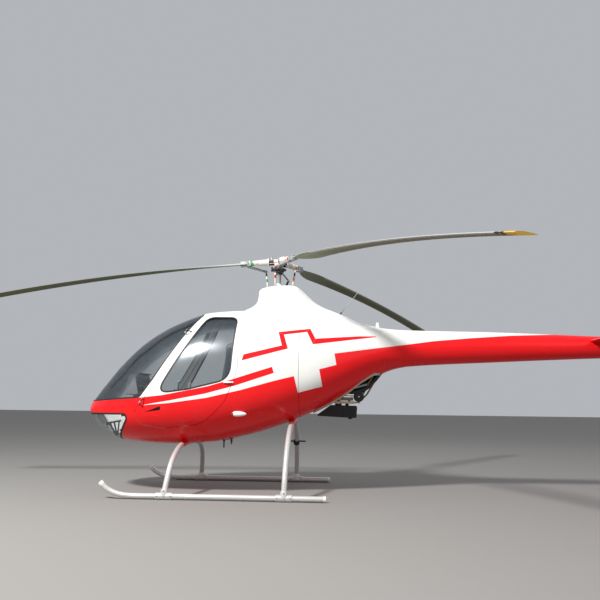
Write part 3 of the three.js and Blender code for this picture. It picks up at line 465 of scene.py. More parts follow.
def hull_solid(depth=0.0, finer=1.0):
    """The hull as a closed solid, its skin moved inwards by depth."""
    sizes = bpy.context.scene.helicopter_shape
    key = (round(depth, 5), finer)
    if key not in HULL_SOLIDS:
        last = HULL.station(HULL_END_X)
        first = 0.0 if depth == 0 else 0.02

        def place(u, v):
            return HULL.point(first + (last - first) * v, u * math.tau, depth) + MAST

        HULL_SOLIDS[key] = surface(place, round(sizes.hull_columns * finer), round(sizes.hull_rows * finer))
    return HULL_SOLIDS[key].copy()


def hull_length(x0, x1, columns, rows, depth=0.0):
    """The hull between two stations, closed at both ends."""

    def place(u, v):
        return HULL.point(HULL.station(x0 + (x1 - x0) * v), u * math.tau, depth) + MAST

    return surface(place, columns, rows)


def extruded(corners, distance):
    """A flat face through the corners, drawn out by a distance vector into a closed solid."""
    shape = bmesh.new()
    face = shape.faces.new([shape.verts.new(corner) for corner in corners])
    made = bmesh.ops.extrude_face_region(shape, geom=[face])
    moved = [item for item in made["geom"] if isinstance(item, bmesh.types.BMVert)]
    bmesh.ops.translate(shape, verts=moved, vec=distance)
    bmesh.ops.recalc_face_normals(shape, faces=shape.faces)
    return shape


def prism(outline, y0, y1):
    """The outline as a slab across the machine from y0 to y1."""
    return extruded([from_mast(p.x, y0, p.y) for p in outline], (0, y1 - y0, 0))


def plan_prism(outline, z0, z1):
    """An outline seen from above as a column from z0 to z1."""
    return extruded([from_mast(p.x, p.y, z0) for p in outline], (0, 0, z1 - z0))


def side_span(side):
    return (-0.9, -0.15) if side < 0 else (0.15, 0.9)


def soft_box(low, high, bevel=0.0, segments=2):
    """A box between two opposite corners, its edges rounded."""
    shape = bmesh.new()
    bmesh.ops.create_cube(shape, size=1)
    low, high = (Vector([pick(pair) for pair in zip(low, high)]) for pick in (min, max))
    bmesh.ops.scale(shape, verts=shape.verts, vec=high - low)
    bmesh.ops.translate(shape, verts=shape.verts, vec=(low + high) / 2)
    if bevel:
        bevel_edges(shape, shape.edges[:], bevel, segments)
    return shape


def block(low, high, bevel=0.0, segments=2):
    """A box between two opposite corners measured from the mast, its edges rounded."""
    return soft_box(from_mast(*low), from_mast(*high), bevel, segments)


def stretch(x0, x1):
    """A box round all of the fuselage between two stations."""
    return block((x0, -0.9, 0), (x1, 0.9, 2.3))


def bevel_edges(shape, edges, width, segments=2):
    bmesh.ops.bevel(
        shape, geom=edges, offset=width, offset_type="OFFSET", affect="EDGES",
        segments=segments, profile=0.5, material=-1, clamp_overlap=True,
    )


def slab(outline, y0, y1, bevel=0.0, segments=2):
    """A side outline as a slab with all its edges rounded."""
    shape = prism(outline, y0, y1)
    if bevel:
        rim = [edge for edge in shape.edges if abs(edge.verts[0].co.y - edge.verts[1].co.y) < 1e-6]
        bevel_edges(shape, rim, bevel, segments)
    return shape


def axis_frame(start, end):
    """A matrix whose Z runs from start to end, with its origin at start."""
    direction = (end - start).normalized()
    return Matrix.Translation(start) @ direction.to_track_quat("Z", "Y").to_matrix().to_4x4()


def turned(profile, start, end, segments=32):
    """A profile of (distance along, radius) pairs spun about the line from start towards end."""
    shape = bmesh.new()
    verts = [shape.verts.new((radius, 0, along)) for along, radius in profile]
    edges = [shape.edges.new(pair) for pair in zip(verts, verts[1:])]
    bmesh.ops.spin(
        shape, geom=verts + edges, angle=math.tau, steps=segments, axis=(0, 0, 1), cent=(0, 0, 0),
        use_merge=True
    )
    bmesh.ops.remove_doubles(shape, verts=shape.verts, dist=1e-6)
    bmesh.ops.recalc_face_normals(shape, faces=shape.faces)
    bmesh.ops.transform(shape, matrix=axis_frame(start, end), verts=shape.verts)
    return shape


def rod(start, end, radius, segments=16, end_bevel=0.0, end_radius=None):
    """A round rod between two points, with softened ends."""
    length = (end - start).length
    far = radius if end_radius is None else end_radius
    soft = min(end_bevel, radius * 0.6, far * 0.6)
    profile = [(0, 0), (0, radius - soft), (soft, radius), (length - soft, far), (length, far - soft),
               (length, 0)]
    if not soft:
        profile = [(0, 0), (0, radius), (length, far), (length, 0)]
    return turned(profile, start, end, segments)


def bar(start, end, *form):
    """A rod between two points measured from the mast."""
    return rod(from_mast(*start), from_mast(*end), *form)


def spun(profile, start, end, segments=32):
    """A profile spun about the line between two points measured from the mast."""
    return turned(profile, from_mast(*start), from_mast(*end), segments)


def spline(points, share):
    """A point of the smooth curve through points, with its direction, at a share of its knots."""
    count = len(points) - 1
    i = min(int(share * count), count - 1)
    t = share * count - i
    p1, p2 = points[i], points[i + 1]
    p0 = points[i - 1] if i else p1 * 2 - p2
    p3 = points[i + 2] if i + 2 <= count else p2 * 2 - p1
    place = 0.5 * (
        2 * p1 + (p2 - p0) * t + (2 * p0 - 5 * p1 + 4 * p2 - p3) * t**2 + (3 * p1 - p0 - 3 * p2 + p3) * t**3
    )
    slope = 0.5 * (
        (p2 - p0) + 2 * (2 * p0 - 5 * p1 + 4 * p2 - p3) * t + 3 * (3 * p1 - p0 - 3 * p2 + p3) * t**2
    )
    return place, slope.normalized()


def tube(points, radius, steps=40, sides=20, flatten=1.0):
    """A round tube along the curve through points. radius may be a function of the share along it."""
    wanted = radius if callable(radius) else lambda share: radius
    frames = []
    across = None
    for step in range(steps + 1):
        place, along = spline(points, step / steps)
        if across is None:
            across = along.orthogonal().normalized()
        across = (across - along * across.dot(along)).normalized()
        frames.append((place, across, along.cross(across)))

    def place(u, v):
        centre, first, second = frames[round(v * steps)]
        reach = wanted(v)
        return centre + (first * math.cos(u * math.tau) + second * math.sin(u * math.tau) * flatten) * reach

    return surface(place, sides, steps)


def tube_through(path, *form):
    """A tube along a path measured from the mast."""
    return tube([from_mast(*place) for place in path], *form)


def foil(u):
    """A point of a wing section: how far back it lies and how high over the middle, as shares."""
    back = (1 - math.cos(u * math.tau)) / 2
    return back, math.copysign(2.6 * math.sqrt(back) * (1 - back) ** 0.9, math.sin(u * math.tau))


def flat_arm(stops, columns=20, steps=24):
    """A flat rounded arm through stops given as place, half width and half thickness."""
    places = [Vector(place) for place, wide, thick in stops]
    shares = [i / (len(stops) - 1) for i in range(len(stops))]
    wide_at = smooth_curve(shares, [wide for place, wide, thick in stops])
    thick_at = smooth_curve(shares, [thick for place, wide, thick in stops])

    def place(u, v):
        centre, along = spline(places, round(v * steps) / steps)
        across = Vector((-along.y, along.x, 0)).normalized()
        c, s = math.cos(u * math.tau), math.sin(u * math.tau)
        side = across * signed_power(c, 0.6) * wide_at(v)
        return centre + side + Vector((0, 0, signed_power(s, 0.6) * thick_at(v)))

    return surface(place, columns, steps)


def hex_bolt(place, direction, radius, height, washer=True):
    """A hexagon head with a chamfer on a washer."""
    head = turned(
        [(0, 0), (0, radius), (height * 0.8, radius), (height, radius * 0.82), (height, 0)],
        place, place + direction, 6,
    )
    if washer:
        ring = turned(
            [(0, 0), (0, radius * 1.35), (height * 0.16, radius * 1.35), (height * 0.2, 0)],
            place, place + direction, 18,
        )
        pour(ring, head)
    return head


def pour(source, target):
    """Moves the faces of one shape into another, without cutting them."""
    mesh = bpy.data.meshes.new("shape")
    source.to_mesh(mesh)
    source.free()
    target.from_mesh(mesh)
    bpy.data.meshes.remove(mesh)


def temporary(shape):
    mesh = bpy.data.meshes.new("tool")
    shape.to_mesh(mesh)
    made = bpy.data.objects.new("tool", mesh)
    bpy.context.scene.collection.objects.link(made)
    return made


def carved(base, *steps):
    """What is left of a solid after cutting, joining or keeping: each step is an operation and its tool."""
    target = temporary(base)
    tools = []
    for operation, tool in steps:
        tools.append(temporary(tool))
        modifier = target.modifiers.new("carve", "BOOLEAN")
        modifier.solver = "MANIFOLD"
        modifier.operation = operation
        modifier.object = tools[-1]
    bpy.context.view_layer.update()
    result = target.evaluated_get(bpy.context.evaluated_depsgraph_get())
    left = bmesh.new()
    left.from_mesh(result.to_mesh())
    result.to_mesh_clear()
    for item in (target, *tools):
        mesh = item.data
        bpy.data.objects.remove(item)
        bpy.data.meshes.remove(mesh)
    if not left.faces:
        raise RuntimeError("a cut left nothing of its solid")
    return left


def turned_about(shape, matrix):
    bmesh.ops.transform(shape, matrix=matrix, verts=shape.verts)
    return shape


def mirrored(shape):
    """The same shape on the other side of the plane of symmetry."""
    bmesh.ops.scale(shape, verts=shape.verts, vec=(1, -1, 1))
    bmesh.ops.reverse_faces(shape, faces=shape.faces)
    return shape


class Piece:
    """One object in the making: shapes are added with the number of their material."""

    def __init__(self, shape=None):
        self.shape = bmesh.new() if shape is None else shape

    def add(self, shape, material=0):
        for face in shape.faces:
            face.material_index = material
            face.smooth = True
        pour(shape, self.shape)

    def done(self, name, body, finishes, replaces=(), sharp=38, form=None):
        """Makes the object. finishes are words in the order of the materials' numbers, and form gives
        the true normal of a curved skin, by which its faces shade."""
        mesh = bpy.data.meshes.new(name)
        self.shape.to_mesh(mesh)
        self.shape.free()
        for word in finishes.split():
            mesh.materials.append(finish(word))
        mesh.set_sharp_from_angle(angle=math.radians(sharp))
        if form:
            shade_by_form(mesh, form)
        made = bpy.data.objects.new(name, mesh)
        bpy.context.scene.collection.objects.link(made)
        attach(made, body)
        if replaces:
            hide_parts(*replaces)
        return made


def shade_by_form(mesh, form):
    """Gives the faces that lie along a smooth form its own normals, so that cuts leave no mark on them."""
    normals = [None] * len(mesh.loops)
    at_vertex = {}
    for polygon in mesh.polygons:
        for loop in polygon.loop_indices:
            index = mesh.loops[loop].vertex_index
            if index not in at_vertex:
                at_vertex[index] = form(mesh.vertices[index].co - MAST)
            true = at_vertex[index]
            lean = polygon.normal.dot(true)
            normals[loop] = true if lean > 0.9 else -true if lean < -0.9 else polygon.normal
    mesh.normals_split_custom_set(normals)


def face_sides(shape):
    """Numbers the faces of a wall cut from the hull: 1 where they look inwards, 0 elsewhere."""
    for face in shape.faces:
        lean = face.normal.dot(HULL.normal(face.calc_center_median() - MAST))
        face.material_index = 1 if lean < -0.6 else 0
        face.smooth = True


class Wire:
    """A shader socket that adds nodes when Python arithmetic is done with it."""

    def __init__(self, tree, output):
        self.tree = tree
        self.output = output

    def math(self, operation, *others):
        values = dict(enumerate((self, *others)))
        return self.tree.node("ShaderNodeMath", {"operation": operation}, values)

    def __add__(self, other):
        return self.math("ADD", other)

    def __sub__(self, other):
        return self.math("SUBTRACT", other)

    def __mul__(self, other):
        return self.math("MULTIPLY", other)

    def __truediv__(self, other):
        return self.math("DIVIDE", other)

    def __rsub__(self, other):
        return self.tree.node("ShaderNodeMath", {"operation": "SUBTRACT"}, {0: other, 1: self})

    __radd__ = __add__
    __rmul__ = __mul__

    def smaller(self, other):
        return self.math("MINIMUM", other)

    def larger(self, other):
        return self.math("MAXIMUM", other)

    def clamped(self):
        return self.tree.node("ShaderNodeClamp", {}, {"Value": self})

    def edge(self, at=0.0, softness=0.0012):
        """0 below the value at, 1 above it, with a soft step between them."""
        return ((self - at) / softness + 0.5).clamped()

    def towards(self, direction):
        """How far a position lies along a direction."""
        return self.tree.node("ShaderNodeVectorMath", {"operation": "DOT_PRODUCT"}, {0: self, 1: direction},
                              1)


class Finish:
    """A material in the making, on its own tree of nodes."""

    def __init__(self, name):
        self.material = bpy.data.materials.new(name)
        self.material.use_nodes = True
        self.tree = self.material.node_tree
        self.tree.nodes.clear()

    def node(self, kind, settings=None, inputs=None, output=0):
        made = self.tree.nodes.new(kind)
        for key, value in (settings or {}).items():
            if key == "points":
                self.set_curve(made.mapping, value)
            else:
                setattr(made, key, value)
        for key, value in (inputs or {}).items():
            if isinstance(value, Wire):
                self.tree.links.new(value.output, made.inputs[key])
            else:
                made.inputs[key].default_value = value
        return Wire(self, made.outputs[output])

    @staticmethod
    def set_curve(mapping, points):
        curve = mapping.curves[0]
        while len(curve.points) < len(points):
            curve.points.new(0.5, 0.5)
        for point, place in zip(curve.points, points):
            point.location = place
            point.handle_type = "VECTOR"
        mapping.update()

    def place(self):
        """The position on the object, measured from the mast's foot."""
        raw = self.node("ShaderNodeTexCoord", {}, {}, "Object")
        return self.node("ShaderNodeVectorMath", {"operation": "SUBTRACT"}, {0: raw, 1: (MAST_X, 0, 0)})

    def noise(self, vector, scale, detail=3.0, roughness=0.55, stretch=None):
        if stretch:
            vector = self.node("ShaderNodeVectorMath", {"operation": "MULTIPLY"}, {0: vector, 1: stretch})
        return self.node(
            "ShaderNodeTexNoise", {},
            {"Vector": vector, "Scale": scale, "Detail": detail, "Roughness": roughness},
        )

    def mix(self, factor, first, second):
        colours = [c if isinstance(c, Wire) else (*c, 1) for c in (first, second)]
        return self.node(
            "ShaderNodeMix", {"data_type": "RGBA"}, {0: factor, 6: colours[0], 7: colours[1]}, 2
        )

    def polyline(self, x, points, low=-2.0, high=3.5, floor=0.8, ceiling=2.0):
        """The height of a drawn line above each x."""
        shares = [((px - low) / (high - low), (pz - floor) / (ceiling - floor)) for px, pz in points]
        curve = self.node(
            "ShaderNodeFloatCurve", {"points": shares}, {"Value": (x - low) / (high - low)}
        )
        return curve * (ceiling - floor) + floor

    def beyond(self, place, line):
        """How far a point lies to the right of a line drawn upwards through two points."""
        (x0, z0), (x1, z1) = line
        normal = Vector((z1 - z0, 0, x0 - x1)).normalized()
        return place.towards(normal) - normal.dot((x0, 0, z0))

    def polygon(self, place, corners):
        """1 inside a convex outline drawn in x and z."""
        turn = sum(a[0] * b[1] - b[0] * a[1] for a, b in zip(corners, corners[1:] + corners[:1]))
        ordered = corners if turn < 0 else corners[::-1]
        depth = None
        for line in zip(ordered, ordered[1:] + ordered[:1]):
            here = self.beyond(place, line)
            depth = here if depth is None else depth.smaller(here)
        return depth.edge()

    def bump(self, height, strength, distance):
        return self.node("ShaderNodeBump", {},
                         {"Height": height, "Strength": strength, "Distance": distance})

    def surface(self, **values):
        """The principled shader with its sockets by name, underscores for spaces, joined to the output."""
        inputs = {}
        for key, value in values.items():
            name = "Specular IOR Level" if key == "Specular" else key.replace("_", " ")
            inputs[name] = (*value, 1) if isinstance(value, tuple) else value
        return self.finish(self.node("ShaderNodeBsdfPrincipled", {}, inputs))

    def finish(self, shader):
        output = self.tree.nodes.new("ShaderNodeOutputMaterial")
        self.tree.links.new(shader.output, output.inputs["Surface"])
        return self.material


def livery_mask(make, place):
    """1 where the body is red, 0 where it is white."""
    x = place.towards((1, 0, 0))
    z = place.towards((0, 0, 1))
    low_front = make.polyline(x, RED_TOP_FRONT) - z
    low_rear = make.polyline(x, RED_TOP_REAR) - z
    behind_step = make.beyond(place, STEP_LINE).edge()
    cross_arm = make.polygon(place, CROSS_ARM)
    lower = low_front.edge() * (1 - behind_step) + low_rear.edge() * behind_step
    lower = lower * (1 - cross_arm)
    before_end = 1 - make.beyond(place, BAND_END).edge()
    above_swoosh = (z - make.polyline(x, SWOOSH_TOP)).edge()
    below_band = (make.polyline(x, BAND_TOP) - z).edge()
    band = above_swoosh * below_band * before_end
    red = lower.larger(band)
    nose = below_band * (1 - (x - RED_TOP_FRONT[0][0]).edge())
    red = red.larger(nose)
    for quad in STRIPE_QUADS:
        red = red.larger(make.polygon(place, quad))
    return red.clamped()


def airframe_paint(name, red_only=False):
    """Glossy paint, red and white by the livery's lines, darker in brown blotches towards the ground."""
    paint = bpy.context.scene.helicopter_paint
    make = Finish(name)
    place = make.place()
    z = place.towards((0, 0, 1))
    film = make.noise(place, 2.2, 4.0)
    speckle = make.noise(place, 260.0, 2.0)
    # Noise blotches that darken the paint towards brown, more strongly towards the ground.
    low_blotches = (make.noise(place, 9.0, 5.0, 0.65) - 0.42) * (1.15 - z).clamped() * 0.55
    red = make.mix(film, tuple(c * 0.93 for c in paint.red), tuple(c * 1.05 for c in paint.red))
    white = make.mix(film, tuple(c * 0.97 for c in paint.white), paint.white)
    colour = red if red_only else make.mix(livery_mask(make, place), white, red)
    colour = make.mix(low_blotches.clamped(), colour, (0.16, 0.12, 0.09))
    return make.surface(
        Base_Color=colour,
        Roughness=0.24 + film * 0.06,
        Coat_Weight=0.14,
        Coat_Roughness=0.04,
        Specular=0.18,
        Normal=make.bump(speckle, 0.03, 0.0004),
    )


def glazing_finish(name, mirror):
    """Tinted acrylic. mirror is how much of the surroundings it shows at a low angle."""
    paint = bpy.context.scene.helicopter_paint
    make = Finish(name)
    place = make.place()
    smear = make.noise(place, 5.0, 4.0)
    through = make.node("ShaderNodeBsdfTransparent", {}, {"Color": (*paint.tint, 1)})
    gloss = make.node(
        "ShaderNodeBsdfPrincipled", {},
        {
            "Base Color": (0.60, 0.64, 0.68, 1),
            "Metallic": 1.0,
            "Roughness": 0.10 + smear * 0.10,
        },
    )
    facing = make.node("ShaderNodeLayerWeight", {}, {"Blend": 0.32}, "Fresnel")
    factor = (facing * mirror + 0.035 + smear * 0.05).clamped()
    return make.finish(make.node("ShaderNodeMixShader", {}, {0: factor, 1: through, 2: gloss}))


def plain_finish(name, colour, roughness, metallic, grain, variation, bump, coat):
    """A solid colour with the small variation in tone, gloss and surface that the real one has."""
    make = Finish(name)
    place = make.place()
    broad = make.noise(place, 6.0, 4.0)
    fine = make.noise(place, grain, 3.0)
    dark = tuple(c * (1 - variation) for c in colour)
    light = tuple(min(c * (1 + variation), 1.0) for c in colour)
    return make.surface(
        Base_Color=make.mix(broad, dark, light),
        Roughness=roughness + (fine - 0.5) * 0.18,
        Metallic=metallic,
        Coat_Weight=coat,
        Normal=make.bump(fine, bump, 0.0006),
    )


def glowing_panel_finish(name, colour, glow):
    """Thin pale laminate made to glow by its own emission: painted light that stands in for daylight
    falling on it.
    """
    make = Finish(name)
    tone = make.mix(make.noise(make.place(), 6.0, 4.0), tuple(c * 0.94 for c in colour), colour)
    return make.surface(Base_Color=tone, Roughness=0.8, Emission_Color=tone, Emission_Strength=glow)


def cloth_finish(name, colour):
    """Woven seat cloth, faded in places."""
    make = Finish(name)
    place = make.place()
    weave_a = make.node(
        "ShaderNodeTexWave", {"wave_type": "BANDS", "bands_direction": "Y"},
        {"Vector": place, "Scale": 150.0}
    )
    weave_b = make.node(
        "ShaderNodeTexWave", {"wave_type": "BANDS", "bands_direction": "DIAGONAL"},
        {"Vector": place, "Scale": 150.0}
    )
    weave = weave_a * 0.5 + weave_b * 0.5
    fade = make.noise(place, 8.0, 4.0)
    shade = make.mix(weave, tuple(c * 0.7 for c in colour), tuple(c * 1.3 for c in colour))
    return make.surface(
        Base_Color=make.mix(fade * 0.4, shade, tuple(c * 2.0 for c in colour)),
        Roughness=0.9,
        Sheen_Weight=0.35,
        Normal=make.bump(weave, 0.35, 0.0006),
    )


def blade_finish(name, colour, edge_tone, root_tone):
    """Blade skin on the map of span and chord: pale at its root, a metal nose, and the marks of its tip."""
    sizes = bpy.context.scene.helicopter_shape
    make = Finish(name)
    flat = make.node("ShaderNodeUVMap", {"uv_map": BLADE_MAP}, {}, 0)
    span = flat.towards((1, 0, 0))
    chord = flat.towards((0, 1, 0))
    streak = make.noise(flat, 3.0, 4.0, 0.6, (0.8, 10.0, 1.0))
    from_middle = ((chord - 0.55) * 2.0).math("ABSOLUTE")
    skin = make.mix((from_middle - 0.25).clamped(), colour, edge_tone)
    skin = make.mix((streak - 0.5) * 0.5 + 0.12, skin, tuple(c * 0.6 for c in colour))
    skin = make.mix(1 - ((span - 0.45) / 0.75).clamped(), skin, root_tone)
    nose = (1 - chord.edge(0.085, 0.01)) * span.edge(0.8, 0.01)
    skin = make.mix(nose, skin, (0.44, 0.46, 0.45))
    band_start = BLADE_TIP - sizes.tip_mark - sizes.tip_band
    tip_start = BLADE_TIP - sizes.tip_mark
    skin = make.mix(span.edge(band_start, 0.003), skin, (0.030, 0.032, 0.020))
    along_band = span.edge(band_start + 0.028, 0.003) * (1 - span.edge(band_start + 0.050, 0.003))
    dabs = (chord * 18.0).math("SINE").edge(0.4, 0.3)
    skin = make.mix(along_band * dabs, skin, (0.46, 0.44, 0.28))
    skin = make.mix(span.edge(tip_start, 0.003), skin, (0.80, 0.47, 0.035))
    return make.surface(
        Base_Color=skin,
        Roughness=0.40 + streak * 0.14 - nose * 0.08,
        Metallic=nose * 0.35,
        Specular=0.35,
        Normal=make.bump(streak, 0.08, 0.0004),
    )


def dial_finish(name):
    """A gauge's black face behind a hint of glass."""
    make = Finish(name)
    place = make.place()
    dust = make.noise(place, 40.0, 4.0)
    return make.surface(
        Base_Color=make.mix(dust, (0.008, 0.008, 0.009), (0.020, 0.020, 0.022)),
        Roughness=0.12 + dust * 0.08,
        Coat_Weight=0.5,
    )


def webbing_finish(name, colour):
    """Harness webbing: fine ribs along the strap."""
    make = Finish(name)
    place = make.place()
    ribs = make.node(
        "ShaderNodeTexWave", {"wave_type": "BANDS", "bands_direction": "Y"},
        {"Vector": place, "Scale": 70.0}
    )
    return make.surface(
        Base_Color=make.mix(ribs, tuple(c * 0.7 for c in colour), colour),
        Roughness=0.78,
        Normal=make.bump(ribs, 0.3, 0.0006),
    )


def lens_finish(name, colour):
    """A coloured lens with moulded ribs."""
    make = Finish(name)
    place = make.place()
    ribs = make.node("ShaderNodeTexWave", {"bands_direction": "Z"}, {"Vector": place, "Scale": 90.0})
    return make.surface(
        Base_Color=colour, Roughness=0.08, Coat_Weight=0.7, Normal=make.bump(ribs, 0.3, 0.001)
    )


PLAIN_FINISHES = {
    # Word: material, colour or setting, roughness, metallic, grain, variation, bump, coat
    "white": ("white_paint", "white", 0.32, 0, 40, 0.03, 0.03, 0.2),
    "lining": ("cabin_lining", "lining", 0.85, 0, 14, 0.12, 0.05, 0),
    "pale_lining": ("nose_lining", (0.82, 0.82, 0.81), 0.8, 0, 14, 0.05, 0.04, 0),
    "lip": ("bare_laminate", (0.46, 0.42, 0.33), 0.7, 0, 35, 0.12, 0.15, 0),
    "rubber": ("seal_rubber", (0.012, 0.012, 0.013), 0.55, 0, 60, 0.2, 0.08, 0),
    "black": ("black_plastic", (0.016, 0.016, 0.018), 0.5, 0, 80, 0.2, 0.12, 0),
    "light_grey": ("console_grey", (0.30, 0.31, 0.32), 0.5, 0, 70, 0.06, 0.06, 0),
    "gear": ("gear_paint", "gear", 0.30, 0.35, 40, 0.08, 0.06, 0.15),
    "shoe": ("worn_steel", (0.20, 0.19, 0.18), 0.55, 0.8, 60, 0.25, 0.3, 0),
    "steel": ("machined_steel", (0.56, 0.56, 0.57), 0.32, 0.85, 80, 0.08, 0.06, 0),
    "grip": ("grip_enamel", (0.66, 0.62, 0.54), 0.42, 0, 40, 0.08, 0.05, 0.1),
    "arm_grey": ("arm_grey", (0.36, 0.38, 0.37), 0.45, 0.2, 50, 0.12, 0.08, 0),
    "dark_metal": ("dark_metal", (0.055, 0.055, 0.06), 0.5, 0.6, 80, 0.25, 0.2, 0),
    "engine": ("cast_alloy", (0.14, 0.14, 0.145), 0.6, 0.5, 45, 0.3, 0.3, 0),
    "tan_plate": ("heat_plate", (0.50, 0.39, 0.24), 0.55, 0.2, 40, 0.2, 0.15, 0),
    "brown": ("primed_tube", (0.19, 0.10, 0.055), 0.6, 0.1, 60, 0.2, 0.15, 0),
    "silencer": ("silencer_black", (0.007, 0.007, 0.008), 0.66, 0, 50, 0.3, 0.2, 0),
    "hose": ("hose_rubber", (0.011, 0.011, 0.013), 0.5, 0, 60, 0.2, 0.15, 0),
    "orange": ("mark_orange", (0.72, 0.26, 0.04), 0.45, 0, 60, 0.1, 0.05, 0),
    "green": ("mark_green", (0.02, 0.34, 0.09), 0.45, 0, 60, 0.1, 0.05, 0),
    "mark_red": ("mark_red", (0.55, 0.03, 0.02), 0.45, 0, 60, 0.1, 0.05, 0),
    "elastomer": ("elastomer", (0.085, 0.020, 0.014), 0.6, 0, 60, 0.25, 0.15, 0),
}
SPECIAL_FINISHES = {
    # Word: maker, material, what else it needs
    "body": (airframe_paint, "airframe_paint"),
    "red": (airframe_paint, "red_paint", True),
    "glazing": (glazing_finish, "tinted_acrylic", 0.80),
    "chin_glazing": (glazing_finish, "chin_acrylic", 0.22),
    # The footwell web glows by emission as painted light; it is no lamp.
    "web": (glowing_panel_finish, "footwell_web", (0.82, 0.80, 0.77), 0.42),
    "cloth": (cloth_finish, "seat_cloth", "cloth"),
    "webbing": (webbing_finish, "harness_webbing", (0.030, 0.030, 0.034)),
    "gauge": (dial_finish, "gauge_face"),
    "blade_top": (blade_finish, "blade_top", "blade_top", (0.40, 0.43, 0.38), (0.40, 0.43, 0.41)),
    "blade_under": (blade_finish, "blade_underside", "blade_under", (0.24, 0.24, 0.12), (0.24, 0.26, 0.19)),
    "lens_clear": (lens_finish, "clear_lens", (0.85, 0.87, 0.88)),
    "lens_red": (lens_finish, "red_lens", (0.30, 0.02, 0.015)),
    "lens_green": (lens_finish, "green_lens", (0.03, 0.42, 0.16)),
}
MADE_FINISHES = {}


def finish(word):
    """One of the machine's finishes, made the first time it is asked for."""
    if word not in MADE_FINISHES:
        plain = word in PLAIN_FINISHES
        maker, name, *rest = (plain_finish, *PLAIN_FINISHES[word]) if plain else SPECIAL_FINISHES[word]
        if rest and isinstance(rest[0], str):
            rest[0] = tuple(getattr(bpy.context.scene.helicopter_paint, rest[0]))
        MADE_FINISHES[word] = maker(name, *rest)
    return MADE_FINISHES[word]


def fairing_curves():
    heights = [row[0] for row in FAIRING_ROWS]
    return [smooth_curve(heights, [row[i] for row in FAIRING_ROWS]) for i in (1, 2, 3)]


def fairing_lean(z):
    """How much a level section leans up towards the back."""
    return FAIRING_TILT_SLOPE * max(0.0, z - FAIRING_TILT_FROM) / (FAIRING_ROWS[-1][0] - FAIRING_TILT_FROM)


def fairing_taper(x):
    """How much narrower the fairing's tail is, so that it runs out on the spine without a ledge."""
    share = min(max((x - 0.30) / 0.80, 0.0), 1.0)
    return 1 - 0.74 * share * share * (3 - 2 * share)


def fairing_solid(grow=0.0):
    """The streamlined stack round the mast, its top leaning up towards the back."""
    curves = fairing_curves()
    low, high = FAIRING_ROWS[0][0], FAIRING_ROWS[-1][0]

    def place(u, v):
        z = low + (high - low) * (1 - (1 - v) ** 1.35)
        front, back, half = (curve(z) for curve in curves)
        c, s = math.cos(u * math.tau), math.sin(u * math.tau)
        reach = back if c > 0 else -front
        x = signed_power(c, 0.85) * (reach + grow)
        lift = grow if v > 0.999 else 0.0
        y = signed_power(s, 0.85) * (half * fairing_taper(x) + grow)
        return from_mast(x, y, z + fairing_lean(z) * x + lift)

    return surface(place, 128, 80)


def fairing_normal(p):
    """Outward normal of the fairing's skin, or of its top where that is flatter."""
    curves = fairing_curves()
    lowest, highest = FAIRING_ROWS[0][0], FAIRING_ROWS[-1][0]

    def level(q):
        z = q.z - fairing_lean(min(q.z, highest)) * q.x
        z = min(max(z, lowest), highest)
        front, back, half = (curve(z) for curve in curves)
        reach = back if q.x > 0 else -front
        return (abs(q.x) / reach) ** (2 / 0.85) + (abs(q.y) / (half * fairing_taper(q.x))) ** (2 / 0.85)

    slope = uphill(level, p, 0.0004)
    return slope.normalized() if slope.length > 1e-9 else UP


def make_cabin_shell():
    """The moulded cabin: walls with their lining, cut for the windscreen, chin windows and doors."""
    inside = carved(
        hull_solid(WALL, finer=0.6),
        ("DIFFERENCE", stretch(CABIN_BACK_X, CABIN_BACK_X + BULKHEAD)),
    )
    body = carved(
        hull_solid(),
        ("INTERSECT", stretch(-2.2, COWL_SEAM_X - 0.0015)),
        ("DIFFERENCE", inside),
        ("DIFFERENCE", prism(rounded_outline(WINDSCREEN_CORNERS), -0.8, 0.8)),
        ("DIFFERENCE", prism(rounded_outline(CHIN_CORNERS), KEEL_HALF, 0.8)),
        ("DIFFERENCE", prism(rounded_outline(CHIN_CORNERS), -0.8, -KEEL_HALF)),
        *(("DIFFERENCE", prism(rounded_outline(DOOR_CORNERS), *side_span(side))) for side in (-1, 1)),
        ("DIFFERENCE", fairing_solid(0.0003)),
        ("DIFFERENCE", bar((-1.9, 0, 0.560), (-1.64, 0, 0.620), 0.0463, 32)),
    )
    face_sides(body)
    piece = Piece(body)
    for face in body.faces:
        middle = face.calc_center_median() - MAST
        if abs(face.normal.x) > 0.95 and middle.x > CABIN_BACK_X - 0.001:
            face.material_index = 1
        # Inward faces of the front pillars and low down take the pale lining: partly a light trim colour,
        # partly painted light for the sunlit pillars and footwell. The keel strip between the chin windows
        # takes it too.
        pillar = middle.x < -0.62 and middle.z < 1.50
        keel_strip = abs(middle.y) < KEEL_HALF + 0.004 and middle.x < -1.49 and middle.z < 0.742
        if keel_strip or face.material_index == 1 and (pillar or middle.z < 0.75):
            face.material_index = 2
    piece.done(
        "cabin_shell", "airframe", "body lining pale_lining", ["cabin_hull"],
        form=HULL.normal,
    )


def pane(corners, spans):
    """A curved pane of glazing that follows the hull a little below its skin."""
    inner = hull_solid(GLASS_SINK + bpy.context.scene.helicopter_shape.glass)
    outline = grown(rounded_outline(corners), -PANE_GAP)
    return carved(hull_solid(GLASS_SINK), ("DIFFERENCE", inner), ("INTERSECT", prism(outline, *spans)))


def seal_ring(corners, spans, width):
    """A rubber strip of a given width along a window's edge, standing a little out of the hull's skin."""
    outline = rounded_outline(corners)
    return carved(
        hull_solid(-SEAL_RISE),
        ("DIFFERENCE", hull_solid(SEAL_FOOT)),
        ("INTERSECT", prism(grown(outline, SEAL_LAP), *spans)),
        ("DIFFERENCE", prism(grown(outline, -width), spans[0] - 0.1, spans[1] + 0.1)),
    )


def done_on_hull(shape, name, body, materials, replaces=()):
    piece = Piece()
    piece.add(shape)
    return piece.done(name, body, materials, replaces, form=HULL.normal)


